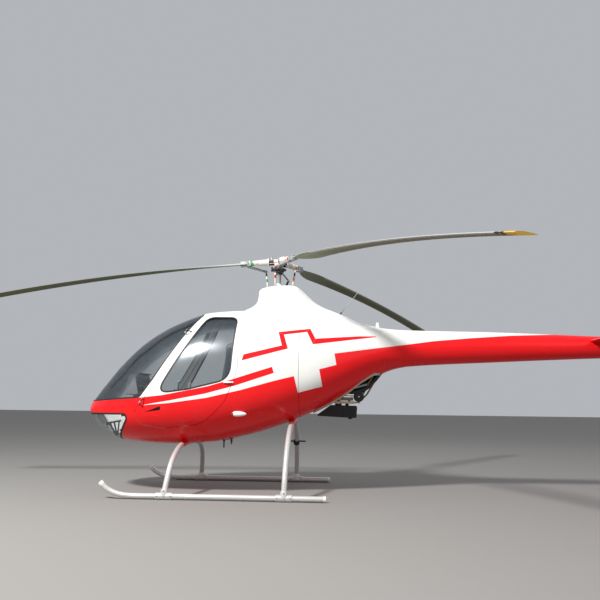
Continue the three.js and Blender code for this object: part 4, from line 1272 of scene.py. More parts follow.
def make_glazing():
    """Windscreen and chin windows with their rubber seals."""
    sizes = bpy.context.scene.helicopter_shape
    windscreen = carved(
        pane(WINDSCREEN_CORNERS, (-0.8, 0.8)),
        ("INTERSECT", stretch(-2.2, -0.6)),
    )
    done_on_hull(windscreen, "windscreen_glass", "airframe", "glazing", ["windscreen"])
    edge = carved(
        seal_ring(WINDSCREEN_CORNERS, (-0.8, 0.8), sizes.seal),
        ("INTERSECT", stretch(-2.2, -0.6)),
    )
    done_on_hull(edge, "windscreen_seal", "airframe", "rubber")
    for word, side in SIDES.items():
        span = (-0.8, -KEEL_HALF - 0.0003) if side < 0 else (KEEL_HALF + 0.0003, 0.8)
        glass = pane(CHIN_CORNERS, span)
        done_on_hull(
            glass, f"chin_glass_{word}", "airframe", "chin_glazing", [f"chin_window_{word}"]
        )
        ring = seal_ring(CHIN_CORNERS, span, CHIN_SEAL)
        done_on_hull(ring, f"chin_seal_{word}", "airframe", "rubber")
    make_footwell()


def make_footwell():
    """The pale web under the floor's front, made to glow as painted light, and the black brackets that
    carry the pedals.
    """
    web = carved(
        slab(rounded_outline([(-1.775, 0.735, 0.0), (-1.610, 0.470, 0.0), (-1.420, 0.440, 0.0),
                              (-1.420, 0.735, 0.0)]),
             -0.006, 0.006, 0.001, 1),
        ("INTERSECT", hull_solid(WALL + 0.0005, finer=0.6)),
    )
    piece = Piece()
    piece.add(web, 0)
    for side in (-1, 1):
        for start, end, radius in (
            ((-1.690, 0.642), (-1.555, 0.668), 0.010), ((-1.668, 0.640), (-1.598, 0.520), 0.008),
            ((-1.625, 0.652), (-1.590, 0.520), 0.008), ((-1.575, 0.662), (-1.585, 0.520), 0.008),
        ):
            a, b = (from_mast(x, side * 0.110, z) for x, z in (start, end))
            piece.add(rod(a, b, radius, 18, 0.001), 1)
        piece.add(block((-1.700, side * 0.110 - 0.022, 0.622), (-1.655, side * 0.110 + 0.022, 0.648),
                        0.005), 1)
        a, b = from_mast(-1.592, side * 0.004, 0.532), from_mast(-1.592, side * 0.118, 0.532)
        piece.add(rod(a, b, 0.009, 18, 0.001), 1)
    piece.done("footwell", "airframe", "web black")


# The part of a door near its hinges, where no strip fits between it and the post when it opens
NEAR_HINGES = [(-1.9, 0.3, 0), (-1.02, 0.3, 0), (-1.02, 0.82, 0), (-0.44, 1.9, 0), (-1.9, 1.9, 0)]


def make_door(word, side):
    """A door: painted skin over an inner frame, its window with a seal, the handle and two hinges."""
    sizes = bpy.context.scene.helicopter_shape
    span = side_span(side)
    outline = rounded_outline(DOOR_CORNERS)
    window = rounded_outline(WINDOW_CORNERS)
    skin = carved(
        hull_solid(),
        ("DIFFERENCE", hull_solid(SKIN)),
        ("INTERSECT", prism(grown(outline, -DOOR_GAP), *span)),
        ("DIFFERENCE", prism(window, *span)),
    )
    frame_part = carved(
        hull_solid(SKIN - 0.001),
        ("DIFFERENCE", hull_solid(WALL)),
        ("INTERSECT", prism(grown(outline, -DOOR_GAP - 0.03), *span)),
        ("DIFFERENCE", prism(window, *span)),
    )
    body = carved(
        skin, ("UNION", frame_part), ("DIFFERENCE", scoop_cutter(side, SCOOP_RAMP)),
        ("DIFFERENCE", scoop_cutter(side, SCOOP_MOUTH)),
    )
    # Inward faces take the pale lining: partly a light trim colour, partly painted light for the sunlit
    # frame seen through the glass.
    face_sides(body)
    # Sunk faces in the upper part of the scoop take the black rubber: painted shade in the recess's mouth.
    for face in body.faces:
        middle = face.calc_center_median() - MAST
        if -1.21 < middle.x < -1.02 and 0.70 < middle.z < 0.83:
            sunk = abs(HULL.skin_point(middle.x, middle.z, side, 0.0).y) - abs(middle.y)
            share = (middle.x + 1.195) / 0.155
            if 0.0012 < sunk < WALL - 0.003 and middle.z > 0.758 + 0.021 * share:
                face.material_index = 2
    piece = Piece(body)
    piece.done(
        f"door_shell_{word}", f"door_{word}", "body pale_lining rubber",
        [f"door_{word}"], form=HULL.normal,
    )
    flange = carved(
        hull_solid(SKIN + 0.003),
        ("DIFFERENCE", hull_solid(WALL - 0.004)),
        ("INTERSECT", prism(grown(outline, -DOOR_GAP - 0.001), *span)),
        ("DIFFERENCE", prism(grown(outline, -DOOR_GAP - 0.010), span[0] - 0.1, span[1] + 0.1)),
        ("DIFFERENCE", prism(rounded_outline(NEAR_HINGES), span[0] - 0.1, span[1] + 0.1)),
    )
    done_on_hull(flange, f"door_weatherstrip_{word}", f"door_{word}", "rubber")
    glass = pane(WINDOW_CORNERS, span)
    done_on_hull(
        glass, f"door_glass_{word}", f"door_{word}", "glazing", [f"door_window_{word}"]
    )
    ring = seal_ring(WINDOW_CORNERS, span, sizes.seal)
    done_on_hull(ring, f"door_seal_{word}", f"door_{word}", "rubber")
    make_handle(word, side)
    make_hinges(word, side)


def make_hinges(word, side):
    """Two hinges on one leaning axis: barrels and arms on the door and on its post, with their bolts."""
    low, high = (from_mast(x, side * y, z) for x, y, z in HINGE_AXIS)
    along = (high - low).normalized()
    for body, sign, colour in ((f"door_{word}", 1, "rubber"), ("airframe", -1, "arm_grey")):
        piece = Piece()
        for middle, (offset, door_foot, post_foot) in zip((low, high), HINGE_FEET):
            x, y, z = door_foot if sign > 0 else post_foot
            foot = from_mast(x, side * y, z)
            near = middle + along * (offset + sign * 0.0002)
            far = middle + along * (offset + sign * HINGE_BARREL)
            piece.add(rod(near, far, 0.0062, 20, 0.0012))
            piece.add(hex_bolt(far, along * sign, 0.0038, 0.003), 1)
            piece.add(rod(near.lerp(far, 0.6), foot, 0.0048, 14, 0.0, 0.0058))
        piece.done(
            f"hinge_{'leaf' if sign > 0 else 'post'}_{word}", body, f"{colour} steel"
        )


# The fresh-air scoop as corners x, z and depth: its shallow ramp, and the mouth along the upper edge, whose
# sunk faces are painted black as shade
SCOOP_RAMP = [(-1.195, 0.760, 0.001), (-1.040, 0.790, 0.010), (-1.032, 0.721, 0.002)]
SCOOP_MOUTH = [(-1.195, 0.760, 0.002), (-1.040, 0.818, 0.024), (-1.038, 0.781, 0.024)]


def scoop_cutter(side, corners):
    """A wedge cut into the skin through three corners."""
    shape = bmesh.new()
    for x, z, depth in corners:
        for d in (depth, -0.02):
            shape.verts.new(HULL.skin_point(x, z, side, d) + MAST)
    bmesh.ops.convex_hull(shape, input=shape.verts)
    bmesh.ops.recalc_face_normals(shape, faces=shape.faces)
    return shape


def make_handle(word, side):
    """The white lever of a door on its base plate."""
    piece = Piece()
    centre = (-0.396, 1.046)
    base = [HULL.skin_point(centre[0] + dx, centre[1], side, 0.0) for dx in (-0.040, 0.040)]
    outward = HULL.normal(HULL.skin_point(*centre, side))
    middle = (base[0] + base[1]) / 2 + outward * 0.016
    path = [base[0] + outward * 0.010, middle, base[1] + outward * 0.010]
    piece.add(tube_through(path, lambda share: 0.010 - 0.004 * abs(share - 0.35), 12, 14, 0.7))
    for end in base:
        piece.add(bar(end - outward * 0.001, end + outward * 0.012, 0.008, 16, 0.002))
    piece.done(
        f"door_lever_{word}", f"door_{word}", "white", [f"door_handle_{word}"]
    )


def engine_opening():
    """The belly's opening seen from above."""
    other_half = [(x, -y, radius) for x, y, radius in reversed(ENGINE_OPENING_HALF)]
    return rounded_outline(ENGINE_OPENING_HALF + other_half)


def make_engine_cowl():
    """The cowl behind the cabin, open below the engine, with the pale lip round the opening."""
    outline = engine_opening()
    opening = plan_prism(outline, 0.5, OPENING_TOP_Z)
    lip = carved(
        plan_prism(grown(outline, 0.002), 0.5, OPENING_TOP_Z),
        ("DIFFERENCE", plan_prism(grown(outline, -LIP_WALL), 0.4, OPENING_TOP_Z + 0.1)),
        ("INTERSECT", hull_solid(-LIP_BELOW)),
        ("DIFFERENCE", hull_solid(WALL)),
    )
    edging = Piece()
    edging.add(lip)
    edging.done("opening_lip", "airframe", "lip")
    body = carved(
        hull_solid(),
        ("INTERSECT", stretch(COWL_SEAM_X + 0.0015, BOOM_SEAM_X - 0.0015)),
        ("DIFFERENCE", carved(
            hull_solid(WALL, finer=0.6),
            ("INTERSECT", stretch(-1.0, BOOM_SEAM_X - BULKHEAD)),
        )),
        ("DIFFERENCE", opening),
        ("DIFFERENCE", fairing_solid(0.0003)),
    )
    face_sides(body)
    piece = Piece(body)
    piece.done(
        "cowl_shell", "airframe", "body dark_metal", ["engine_cowl"],
        form=HULL.normal,
    )


def make_mast_fairing():
    """The white fairing round the mast, with the well that the mast and pitch links come out of."""
    well = bar((0, 0, WELL_FLOOR), (0, 0, 2.200), WELL_RADIUS, 96)
    body = carved(
        fairing_solid(),
        ("DIFFERENCE", hull_solid(SKIN + 0.004)),
        ("DIFFERENCE", well),
    )
    for face in body.faces:
        face.smooth = True
        middle = face.calc_center_median() - MAST
        in_well = math.hypot(middle.x, middle.y) < WELL_RADIUS - 0.0005 or (
            middle.z > WELL_FLOOR and math.hypot(middle.x, middle.y) < WELL_RADIUS + 0.0005
        )
        face.material_index = 1 if in_well else 0
    piece = Piece(body)
    piece.done(
        "fairing_shell", "airframe", "body lip", ["mast_fairing"],
        form=fairing_normal,
    )


def make_tail_boom():
    """The boom, and the collar that covers its seam with the cowl."""
    piece = Piece()
    piece.add(hull_length(BOOM_SEAM_X + 0.0015, TAIL_SEAM_X - 0.0015, 80, 60))
    piece.done("boom_tube", "airframe", "body", ["tail_boom"], form=HULL.normal)
    collar = Piece()
    collar.add(hull_length(BOOM_SEAM_X - 0.004, BOOM_SEAM_X + 0.026, 80, 4, -0.0015))
    collar.done("boom_collar", "airframe", "body")


def fin_solid():
    curves = [smooth_curve([row[0] for row in FIN_ROWS], [row[i] for row in FIN_ROWS]) for i in (1, 2, 3)]
    low, high = FIN_ROWS[0][0], FIN_ROWS[-1][0]

    def place(u, v):
        z = low + (high - low) * v
        front, back, half = (curve(z) for curve in curves)
        along, height = foil(u)
        return from_mast(front + (back - front) * along, half * height, z)

    return surface(place, 72, 90)


def make_tail_fin():
    """Fin and fan duct in one moulding, with the duct's rounded lips."""
    centre = FAN_CENTRE
    across = Vector((0, 1, 0))
    boom_end = hull_length(TAIL_SEAM_X, TAIL_SEAM_X + 0.24, 72, 16)
    cheeks = rod(centre - across * 0.092, centre + across * 0.092, DUCT_RADIUS + 0.036, 96, 0.012)
    lip = [(-0.140, 0.0), (-0.140, DUCT_RADIUS + 0.034)]
    for step in range(9):
        angle = math.radians(90 * step / 8)
        lip.append((-0.092 + 0.030 * (1 - math.cos(angle)) - 0.004,
                    DUCT_RADIUS + 0.030 * (1 - math.sin(angle))))
    lip += [(0.062, DUCT_RADIUS), (0.092, DUCT_RADIUS + 0.014), (0.140, DUCT_RADIUS + 0.014), (0.140, 0.0)]
    tunnel = turned(lip, centre, centre + across, 96)
    body = carved(fin_solid(), ("UNION", cheeks), ("UNION", boom_end), ("DIFFERENCE", tunnel))
    piece = Piece()
    piece.add(body)
    piece.done("fin_shell", "airframe", "body", ["tail_fin"], sharp=30)


def fan_vane(inner, outer, chord, half, lean, back, twist=0.0):
    """One blade or vane standing out along +X: a thin section, leaned about its length."""

    def place(u, v):
        r = inner + (outer - inner) * v
        share, height = foil(u)
        across = (share - 0.5) * chord
        height *= half
        angle = lean - twist * v
        return Vector((
            r,
            back + across * math.sin(angle) + height * math.cos(angle),
            across * math.cos(angle) - height * math.sin(angle),
        ))

    return surface(place, 24, 10)


def about_fan(shape, turn):
    return turned_about(shape, Matrix.Translation(FAN_CENTRE) @ Matrix.Rotation(turn, 4, "Y"))


def make_tail_fan():
    """Gearbox on its stator vanes, and the seven-blade fan in front of it."""
    across = Vector((0, 1, 0))
    housing = Piece()
    casing = [(0.0143, 0), (0.0143, 0.030), (0.022, 0.030), (0.022, 0.056), (0.026, 0.062), (0.080, 0.062)]
    casing += [(0.088, 0.058), (0.092, 0.052), (0.092, 0.044), (0.104, 0.042), (0.110, 0.036), (0.110, 0)]
    housing.add(turned(casing, FAN_CENTRE, FAN_CENTRE + across, 56))
    for i in range(8):
        turn = math.tau * i / 8
        place = FAN_CENTRE + Vector((0.050 * math.cos(turn), 0.0918, 0.050 * math.sin(turn)))
        housing.add(hex_bolt(place, across, 0.0045, 0.004), 1)
        housing.add(about_fan(fan_vane(0.050, DUCT_RADIUS - 0.0015, 0.052, 0.0042, 1.32, 0.060),
                              turn + 0.491))
    housing.done("fan_gearbox", "airframe", "gear steel", ["tail_gearbox"])

    fan = Piece()
    hub = [(-0.066, 0), (-0.066, 0.036), (-0.062, 0.042), (-0.050, 0.044), (-0.050, 0.066), (-0.046, 0.074)]
    hub += [(-0.038, 0.078), (0.006, 0.078), (0.014, 0.072), (0.014, 0)]
    fan.add(turned(hub, FAN_CENTRE, FAN_CENTRE + across, 72))
    for i in range(7):
        turn = math.tau * i / 7
        fan.add(about_fan(fan_vane(0.060, DUCT_RADIUS - 0.0085, 0.058, 0.0046, 0.85, -0.018, -0.30), turn),
                1)
        place = FAN_CENTRE + Vector((0.058 * math.cos(turn), -0.0498, 0.058 * math.sin(turn)))
        fan.add(hex_bolt(place, -across, 0.0045, 0.004), 2)
    fan.done("fan_wheel", "tail_rotor", "dark_metal black steel", ["tail_rotor"])

    bumper = Piece()
    hoop = [(3.790, 1.078), (3.800, 0.990), (3.880, 0.950), (4.080, 0.968), (4.200, 1.010), (4.235, 1.078)]
    bumper.add(tube([from_mast(x, 0, z) for x, z in hoop], 0.009, 70, 20))
    for x, z in (hoop[0], hoop[-1]):
        bumper.add(bar((x, 0, z - 0.012), (x, 0, z + 0.006), 0.014, 20, 0.003))
    bumper.done("tail_hoop", "airframe", "black", ["tail_bumper"])

    lamp = Piece()
    lamp.add(spun([(0, 0), (0, 0.0158), (0.034, 0.0158), (0.036, 0.013), (0.036, 0)], (4.318, 0, 1.640),
                  (4.4, 0, 1.640), 32), 0)
    lamp.add(spun([(0.0355, 0), (0.0355, 0.0125), (0.046, 0.0115), (0.052, 0.007), (0.054, 0)],
                  (4.318, 0, 1.640), (4.4, 0, 1.640), 32), 1)
    lamp.done("tail_position_lamp", "airframe", "white lens_clear", ["tail_lamp"])
    for word, side in SIDES.items():
        make_stabiliser(word, side)


# Stabiliser sections: distance from the boom's middle, front, back, height, half thickness
STABILISER_ROWS = [
    (0.098, 3.087, 3.384, 1.500, 0.0187),
    (0.400, 3.105, 3.372, 1.502, 0.0160),
    (0.735, 3.130, 3.358, 1.504, 0.0120),
    (0.746, 3.137, 3.353, 1.504, 0.0100),
    (0.752, 3.150, 3.345, 1.504, 0.0060),
]


def make_stabiliser(word, side):
    """A fixed tailplane half with a rounded tip and a root fairing on the boom."""
    ys = [row[0] for row in STABILISER_ROWS]
    curves = [smooth_curve(ys, [row[i] for row in STABILISER_ROWS]) for i in (1, 2, 3, 4)]

    def place(u, v):
        y = ys[0] + (ys[-1] - ys[0]) * (1 - (1 - v) ** 1.6)
        front, back, z, half = (curve(y) for curve in curves)
        share, height = foil(u)
        return from_mast(front + (back - front) * share, side * y, z + half * height)

    def root(u, v):
        wide = 0.016 * (1 - v) ** 2
        y = 0.086 + 0.030 * v
        front, back, z, half = (curve(max(y, ys[0])) for curve in curves)
        share, height = foil(u)
        x = front - wide + (back - front + 2 * wide) * share
        return from_mast(x, side * y, z + half * height + math.copysign(wide * 0.7, height))

    piece = Piece()
    piece.add(surface(place, 56, 40))
    piece.add(surface(root, 56, 8))
    for i in range(6):
        x = 3.12 + 0.045 * i
        spot = from_mast(x, side * 0.128, 1.500 + 0.0185 * 0.9)
        piece.add(rod(spot - Vector((0, 0, 0.004)), spot, 0.0035, 12, 0.0008), 1)
    piece.done(
        f"tailplane_{word}", "airframe", "red steel", [f"stabiliser_{word}"]
    )


def paint_node(node, name):
    """Gives a carried-over node its finish."""
    mesh = frame["nodes"][node].data
    mesh.materials.clear()
    mesh.materials.append(finish(name))


def droop(r):
    return -DROOP_SLOPE * r - DROOP_BEND * r * r


def arm_matrix(degrees):
    return Matrix.Translation(MAST) @ Matrix.Rotation(math.radians(degrees), 4, "Z")


def leaned(r):
    """The place on an arm at a distance from the mast, leaned along the droop."""
    return Matrix.Translation((r, 0, HUB_Z + droop(r))) @ Matrix.Rotation(ARM_LEAN, 4, "Y")


BLADE_MAP = "span_chord"
ARM_LEAN = math.atan(DROOP_SLOPE)
ARM_MARKS = ("green", "orange", "mark_red")


def blade_twist(share):
    return math.radians(BLADE_TWIST_TIP + (BLADE_TWIST_ROOT - BLADE_TWIST_TIP) * (1 - share) ** 3)


def blade_solid():
    """A drooping, twisted blade along +X, with its map of span and chord."""
    chord_share = smooth_curve([row[0] for row in BLADE_ROWS], [row[1] for row in BLADE_ROWS])
    thick_share = smooth_curve([row[0] for row in BLADE_ROWS], [row[2] for row in BLADE_ROWS])

    def place(u, v):
        share = v**1.4
        r = BLADE_ROOT + (BLADE_TIP - BLADE_ROOT) * share
        chord = BLADE_CHORD * chord_share(share)
        twist = blade_twist(share)
        along, height = foil(u)
        across = chord * (along - 0.25)
        height *= 0.06 * BLADE_CHORD * math.sqrt(chord_share(share)) * thick_share(share)
        return Vector((
            r,
            across * math.cos(twist) + height * math.sin(twist),
            HUB_Z + droop(r) - across * math.sin(twist) + height * math.cos(twist),
        ))

    shape = surface(place, 48, 120)
    layer = shape.loops.layers.uv.new(BLADE_MAP)
    for face in shape.faces:
        for loop in face.loops:
            r = loop.vert.co.x
            share = (r - BLADE_ROOT) / (BLADE_TIP - BLADE_ROOT)
            twist = blade_twist(share)
            rise = loop.vert.co.z - HUB_Z - droop(r)
            across = loop.vert.co.y * math.cos(twist) - rise * math.sin(twist)
            loop[layer].uv = (r, across / (BLADE_CHORD * chord_share(share)) + 0.25)
    return shape


def make_blade(number, degrees):
    """A blade: grey above, darker olive below, a metal nose, a marked tip, and the block its root bolts
    hold. The darker olive underside is partly the blade's own colour and partly painted shade with a
    painted reflection of green ground.
    """
    body = blade_solid()
    for face in body.faces:
        face.smooth = True
        # Faces looking down take the darker underside finish, which is partly painted shade.
        face.material_index = 0 if face.normal.z > 0 else 1
    turned_about(body, arm_matrix(degrees))
    root = Piece()
    root.add(turned_about(arm_box(ROOT_R, (-0.041, -0.025, -0.017), (0.041, 0.025, 0.017), 0.003),
                          arm_matrix(degrees)), 0)
    piece = Piece(body)
    piece.done(
        f"blade_skin_{number}", "main_rotor", "blade_top blade_under",
        [f"blade_{number}"],
    )
    root.done(f"blade_root_{number}", "main_rotor", "arm_grey")


def arm_place(r, y=0.0, dz=0.0):
    """A point of an arm along +X, measured up from its droop line."""
    return Vector((r, y, HUB_Z + droop(r) + dz))


def along_arm(profile, r, segments=40):
    """A shape turned about the arm's own line, its profile measured outwards from a distance r."""
    start = arm_place(r)
    return turned(profile, start, start + Vector((math.cos(ARM_LEAN), 0, -math.sin(ARM_LEAN))), segments)


def arm_box(r, low, high, bevel=0.002, segments=2):
    return turned_about(soft_box(low, high, bevel, segments), leaned(r))


def make_grip(number, degrees, mark):
    """A blade grip: flange, sleeve with its colour mark, fork and pitch horn."""
    piece = Piece()
    outwards = leaned(0.118).to_3x3() @ Vector((1, 0, 0))
    piece.add(along_arm([(0, 0), (0, 0.037), (0.002, 0.040), (0.014, 0.040), (0.017, 0.037), (0.017, 0)],
                        0.101), 1)
    for i in range(8):
        turn = math.tau * (i + 0.5) / 8
        place = leaned(0.118) @ Vector((-0.0005, 0.0352 * math.cos(turn), 0.0352 * math.sin(turn)))
        piece.add(hex_bolt(place, outwards, 0.0036, 0.005), 2)
    sleeve = [(0, 0), (0, 0.0345), (0.010, 0.0345), (0.014, 0.0325), (0.092, 0.0288), (0.094, 0.0275)]
    sleeve += [(0.100, 0.0275), (0.102, 0.0288), (0.150, 0.0262), (0.160, 0.0262), (0.163, 0.023),
               (0.163, 0)]
    piece.add(along_arm(sleeve, 0.112), 0)
    piece.add(along_arm([(0, 0), (0, 0.0268), (0.020, 0.0262), (0.030, 0.020), (0.040, 0.0175), (0.040, 0)],
                        0.262), 3)
    piece.add(along_arm([(0, 0), (0, 0.0165), (0.022, 0.0165), (0.022, 0)], 0.284), 2)
    for sign in (-1, 1):
        middle = sign * 0.0218
        piece.add(arm_box(ROOT_R, (-0.057, -0.026, middle - 0.0045), (0.043, 0.026, middle + 0.0045),
                          0.0035, 3), 4)
        for offset in (-0.022, 0.018):
            spot = leaned(ROOT_R) @ Vector((offset, 0, middle + sign * 0.0042))
            up = leaned(ROOT_R).to_3x3() @ Vector((0, 0, sign))
            piece.add(hex_bolt(spot, up, 0.0085, 0.0085), 2)
    piece.add(arm_box(0.302, (-0.013, -0.026, -0.0262), (0.013, 0.026, 0.0262), 0.003), 4)
    piece.add(arm_box(0.300, (-0.016, -0.020, -0.014), (-0.006, 0.020, 0.014), 0.002), 5)
    horn = [
        (arm_place(0.322, -0.016, -0.030), 0.026, 0.009),
        (arm_place(0.262, -0.046, -0.046), 0.024, 0.009),
        (Vector((0.195, -0.082, 2.236)), 0.018, 0.009),
        (Vector((LINK_HEAD.x - 0.008, LINK_HEAD.y - 0.002, LINK_HEAD.z)), 0.013, 0.0115),
    ]
    piece.add(flat_arm(horn), 4)
    marked = [
        (Vector((0.184, -0.0868, 2.2344)), 0.0172, 0.0098),
        (Vector((0.150, -0.1000, 2.2255)), 0.0142, 0.0118),
    ]
    piece.add(flat_arm(marked, 20, 4), 3)
    rib = [(arm_place(0.300, -0.030, -0.036), 0.004, 0.014), (Vector((0.200, -0.080, 2.240)), 0.004, 0.012)]
    piece.add(flat_arm(rib, 16, 6), 4)
    piece.add(hex_bolt(LINK_HEAD + UP * 0.011, UP, 0.008, 0.008), 2)
    turned_about(piece.shape, arm_matrix(degrees))
    piece.done(
        f"grip_{number}", "main_rotor", f"grip white steel {mark} arm_grey elastomer",
        [f"blade_grip_{number}"],
    )


def make_pitch_link(number, degrees, mark):
    """A pitch link: two rod ends with lock nuts and a turned barrel with its colour band."""
    up = (LINK_HEAD - LINK_FOOT).normalized()
    piece = Piece()
    piece.add(turned([(0.0103, 0), (0.0103, 0.0055), (0.240, 0.0055), (0.240, 0)], LINK_FOOT, LINK_HEAD,
                     20), 1)
    barrel = [(0.046, 0), (0.046, 0.0070), (0.052, 0.0098), (0.190, 0.0098), (0.198, 0.0070), (0.198, 0)]
    piece.add(turned(barrel, LINK_FOOT, LINK_HEAD, 28), 0)
    piece.add(turned([(0.142, 0), (0.142, 0.0101), (0.176, 0.0101), (0.176, 0)], LINK_FOOT, LINK_HEAD, 28),
              2)
    for along in (0.038, 0.199):
        piece.add(hex_bolt(LINK_FOOT + up * along, up, 0.0095, 0.007, False), 1)
    piece.add(turned([(0.207, 0), (0.207, 0.0085), (0.236, 0.0085), (0.240, 0.006), (0.240, 0)],
                     LINK_FOOT, LINK_HEAD, 24), 3)
    piece.add(turned([(0.0105, 0), (0.0105, 0.0115), (0.026, 0.0115), (0.032, 0.007), (0.032, 0)],
                     LINK_FOOT, LINK_HEAD, 24), 3)
    turned_about(piece.shape, arm_matrix(degrees))
    piece.done(
        f"control_rod_{number}", "main_rotor", f"grip steel {mark} rubber",
        [f"pitch_link_{number}"],
    )


def make_hub_arm(piece, degrees):
    """One arm of the hub: two plates with the stacked elastomer bearing between them, and two studs.
    Its materials are numbered as the hub's are: enamel, white, steel, elastomer, dark metal."""
    parts = [
        (arm_box(ARM_END, (-0.0723, -0.029, 0.0135), (-0.0003, 0.029, 0.022), 0.0025), 0),
        (arm_box(ARM_END, (-0.0723, -0.029, -0.022), (-0.0003, 0.029, -0.0135), 0.0025), 0),
        (arm_box(ARM_END, (-0.0723, -0.024, -0.0137), (-0.050, 0.024, 0.0137), 0.002), 4),
    ]
    for i in range(8):
        inner = 0.053 + 0.0058 * i
        wide = 0.0350 if i % 2 else 0.0325
        ring = [(0, 0), (0, wide - 0.001), (0.001, wide), (0.0052, wide), (0.0058, wide - 0.001),
                (0.0058, 0)]
        parts.append((along_arm(ring, inner, 32), 4 if i % 2 else 3))
    for y in (-0.020, 0.020):
        base = arm_place(0.074, y, 0.020)
        parts.append((rod(base, Vector((0.074, y, 2.3695)), 0.0048, 14, 0.0012), 2))
        parts.append((hex_bolt(base + UP * 0.002, UP, 0.0085, 0.010), 2))
        parts.append((hex_bolt(base + UP * 0.018, UP, 0.0078, 0.007, False), 2))
    parts.append((arm_box(0.079, (-0.011, -0.027, 0.031), (0.011, 0.027, 0.0345), 0.001), 0))
    for shape, material in parts:
        piece.add(turned_about(shape, arm_matrix(degrees)), material)


def about_mast(profile, segments):
    """A profile of (height, radius) pairs spun about the mast."""
    return turned(profile, MAST, MAST + UP, segments)


def make_rotor_head():
    """Mast, hub, swashplate, grips and pitch links."""
    mast = Piece()
    shaft = [(1.9003, 0), (1.9003, 0.034), (1.940, 0.034), (1.944, 0.030), (1.985, 0.030), (1.990, 0.0262)]
    shaft += [(2.046, 0.0250), (2.200, 0.0250), (2.204, 0.0280), (2.212, 0.0280), (2.216, 0.0250),
              (2.228, 0.0250)]
    shaft += [(2.232, 0.032), (2.2615, 0.032), (2.2615, 0)]
    mast.add(about_mast(shaft, 48), 0)
    collar = [(2.050, 0), (2.050, 0.038), (2.054, 0.044), (2.062, 0.044), (2.066, 0.030), (2.078, 0.0275),
              (2.078, 0)]
    mast.add(about_mast(collar, 48), 1)
    mast.add(about_mast([(1.990, 0), (1.990, 0.029), (2.048, 0.027), (2.048, 0)], 40), 2)
    mast.done("mast_shaft", "main_rotor", "arm_grey white tan_plate", ["rotor_mast"])

    hub = Piece()
    core = [(2.2618, 0), (2.2618, 0.040), (2.268, 0.046), (2.296, 0.046), (2.299, 0.052), (2.302, 0.058)]
    core += [(2.318, 0.058), (2.3235, 0.0545), (2.3235, 0.036), (2.319, 0.033), (2.319, 0)]
    hub.add(about_mast(core, 64), 1)
    hub.add(about_mast([(2.268, 0), (2.268, 0.0475), (2.273, 0.0485), (2.288, 0.0485), (2.292, 0.0475),
                        (2.292, 0)], 48), 0)
    hub.add(hex_bolt(from_mast(0, 0, 2.3188), UP, 0.0205, 0.024), 2)
    hub.add(bar((0, 0, 2.342), (0, 0, 2.3478), 0.0085, 20, 0.001), 2)
    for i in range(12):
        turn = math.tau * i / 12
        place = from_mast(0.0452 * math.cos(turn), 0.0452 * math.sin(turn), 2.3228)
        hub.add(hex_bolt(place, UP, 0.0034, 0.004), 2)
    # A dark droop-stop ring under the arms, put there as painted shade where the arms' undersides lie in
    # shadow.
    shade_ring = [(2.216, 0.030), (2.216, 0.070), (2.220, 0.078), (2.230, 0.078), (2.238, 0.066), (2.240, 0.036)]
    shade_ring += [(2.250, 0.034), (2.250, 0.030), (2.214, 0.030)]
    hub.add(about_mast(shade_ring, 56), 4)
    for degrees in BLADE_DIRECTIONS:
        spot = arm_matrix(degrees) @ Vector((0.072, 0, 2.208))
        hub.add(rod(spot, spot + UP * 0.050, 0.009, 20, 0.002), 4)
        make_hub_arm(hub, degrees)
    hub.done(
        "hub_star", "main_rotor", "grip white steel elastomer dark_metal",
        ["rotor_hub"],
    )
    make_swashplate()
    for i, degrees in enumerate(BLADE_DIRECTIONS):
        make_grip(i + 1, degrees, ARM_MARKS[i])
        make_pitch_link(i + 1, degrees, ARM_MARKS[i])


def make_swashplate():
    """Bearing rings round the mast, an ear under each pitch link, and the scissors that turn them."""
    piece = Piece()
    ring = [(-0.014, 0.055), (-0.014, 0.082), (-0.012, 0.084), (-0.004, 0.084), (-0.003, 0.081),
            (-0.001, 0.081)]
    ring += [(0, 0.084), (0.008, 0.084), (0.010, 0.082), (0.010, 0.055), (-0.014, 0.055)]
    core = [(-0.026, 0.0265), (-0.026, 0.040), (-0.010, 0.042), (-0.008, 0.058), (0.006, 0.058),
            (0.010, 0.042)]
    core += [(0.040, 0.042), (0.044, 0.038), (0.044, 0.0265), (-0.026, 0.0265)]
    for profile, segments, material in ((ring, 72, 1), (core, 56, 0)):
        piece.add(about_mast([(SWASH_Z + rise, radius) for rise, radius in profile], segments), material)
    lean = math.atan2(LINK_FOOT.y, LINK_FOOT.x)
    for degrees in BLADE_DIRECTIONS:
        turn = arm_matrix(degrees) @ Matrix.Rotation(lean, 4, "Z")
        ear = soft_box((0.060, -0.013, SWASH_Z - 0.008), (0.150, 0.013, SWASH_Z + 0.010), 0.004, 3)
        piece.add(turned_about(ear, turn), 0)
        spot = Vector((LINK_FOOT.xy.length, 0, SWASH_Z - 0.0085))
        piece.add(turned_about(hex_bolt(spot, -UP, 0.007, 0.006), turn), 2)
    scissor = arm_matrix(-20)
    for side in (-1, 1):
        knee = Vector((0.112, side * 0.010, 2.105))
        upper, lower = Vector((0.036, side * 0.010, 2.190)), Vector((0.052, side * 0.010, 1.985))
        piece.add(turned_about(tube([upper, upper.lerp(knee, 0.5), knee], 0.0058, 10, 14), scissor), 0)
        piece.add(turned_about(tube([knee, knee.lerp(lower, 0.5), lower], 0.0058, 10, 14), scissor), 0)
    piece.add(turned_about(rod(Vector((0.112, -0.018, 2.105)), Vector((0.112, 0.018, 2.105)), 0.008, 18,
                               0.001),
                           scissor), 2)
    piece.add(about_mast([(2.178, 0.0252), (2.178, 0.036), (2.199, 0.036), (2.199, 0.0252)], 40), 0)
    piece.done(
        "swashplate_rings", "main_rotor", "dark_metal arm_grey steel",
        ["swashplate"],
    )


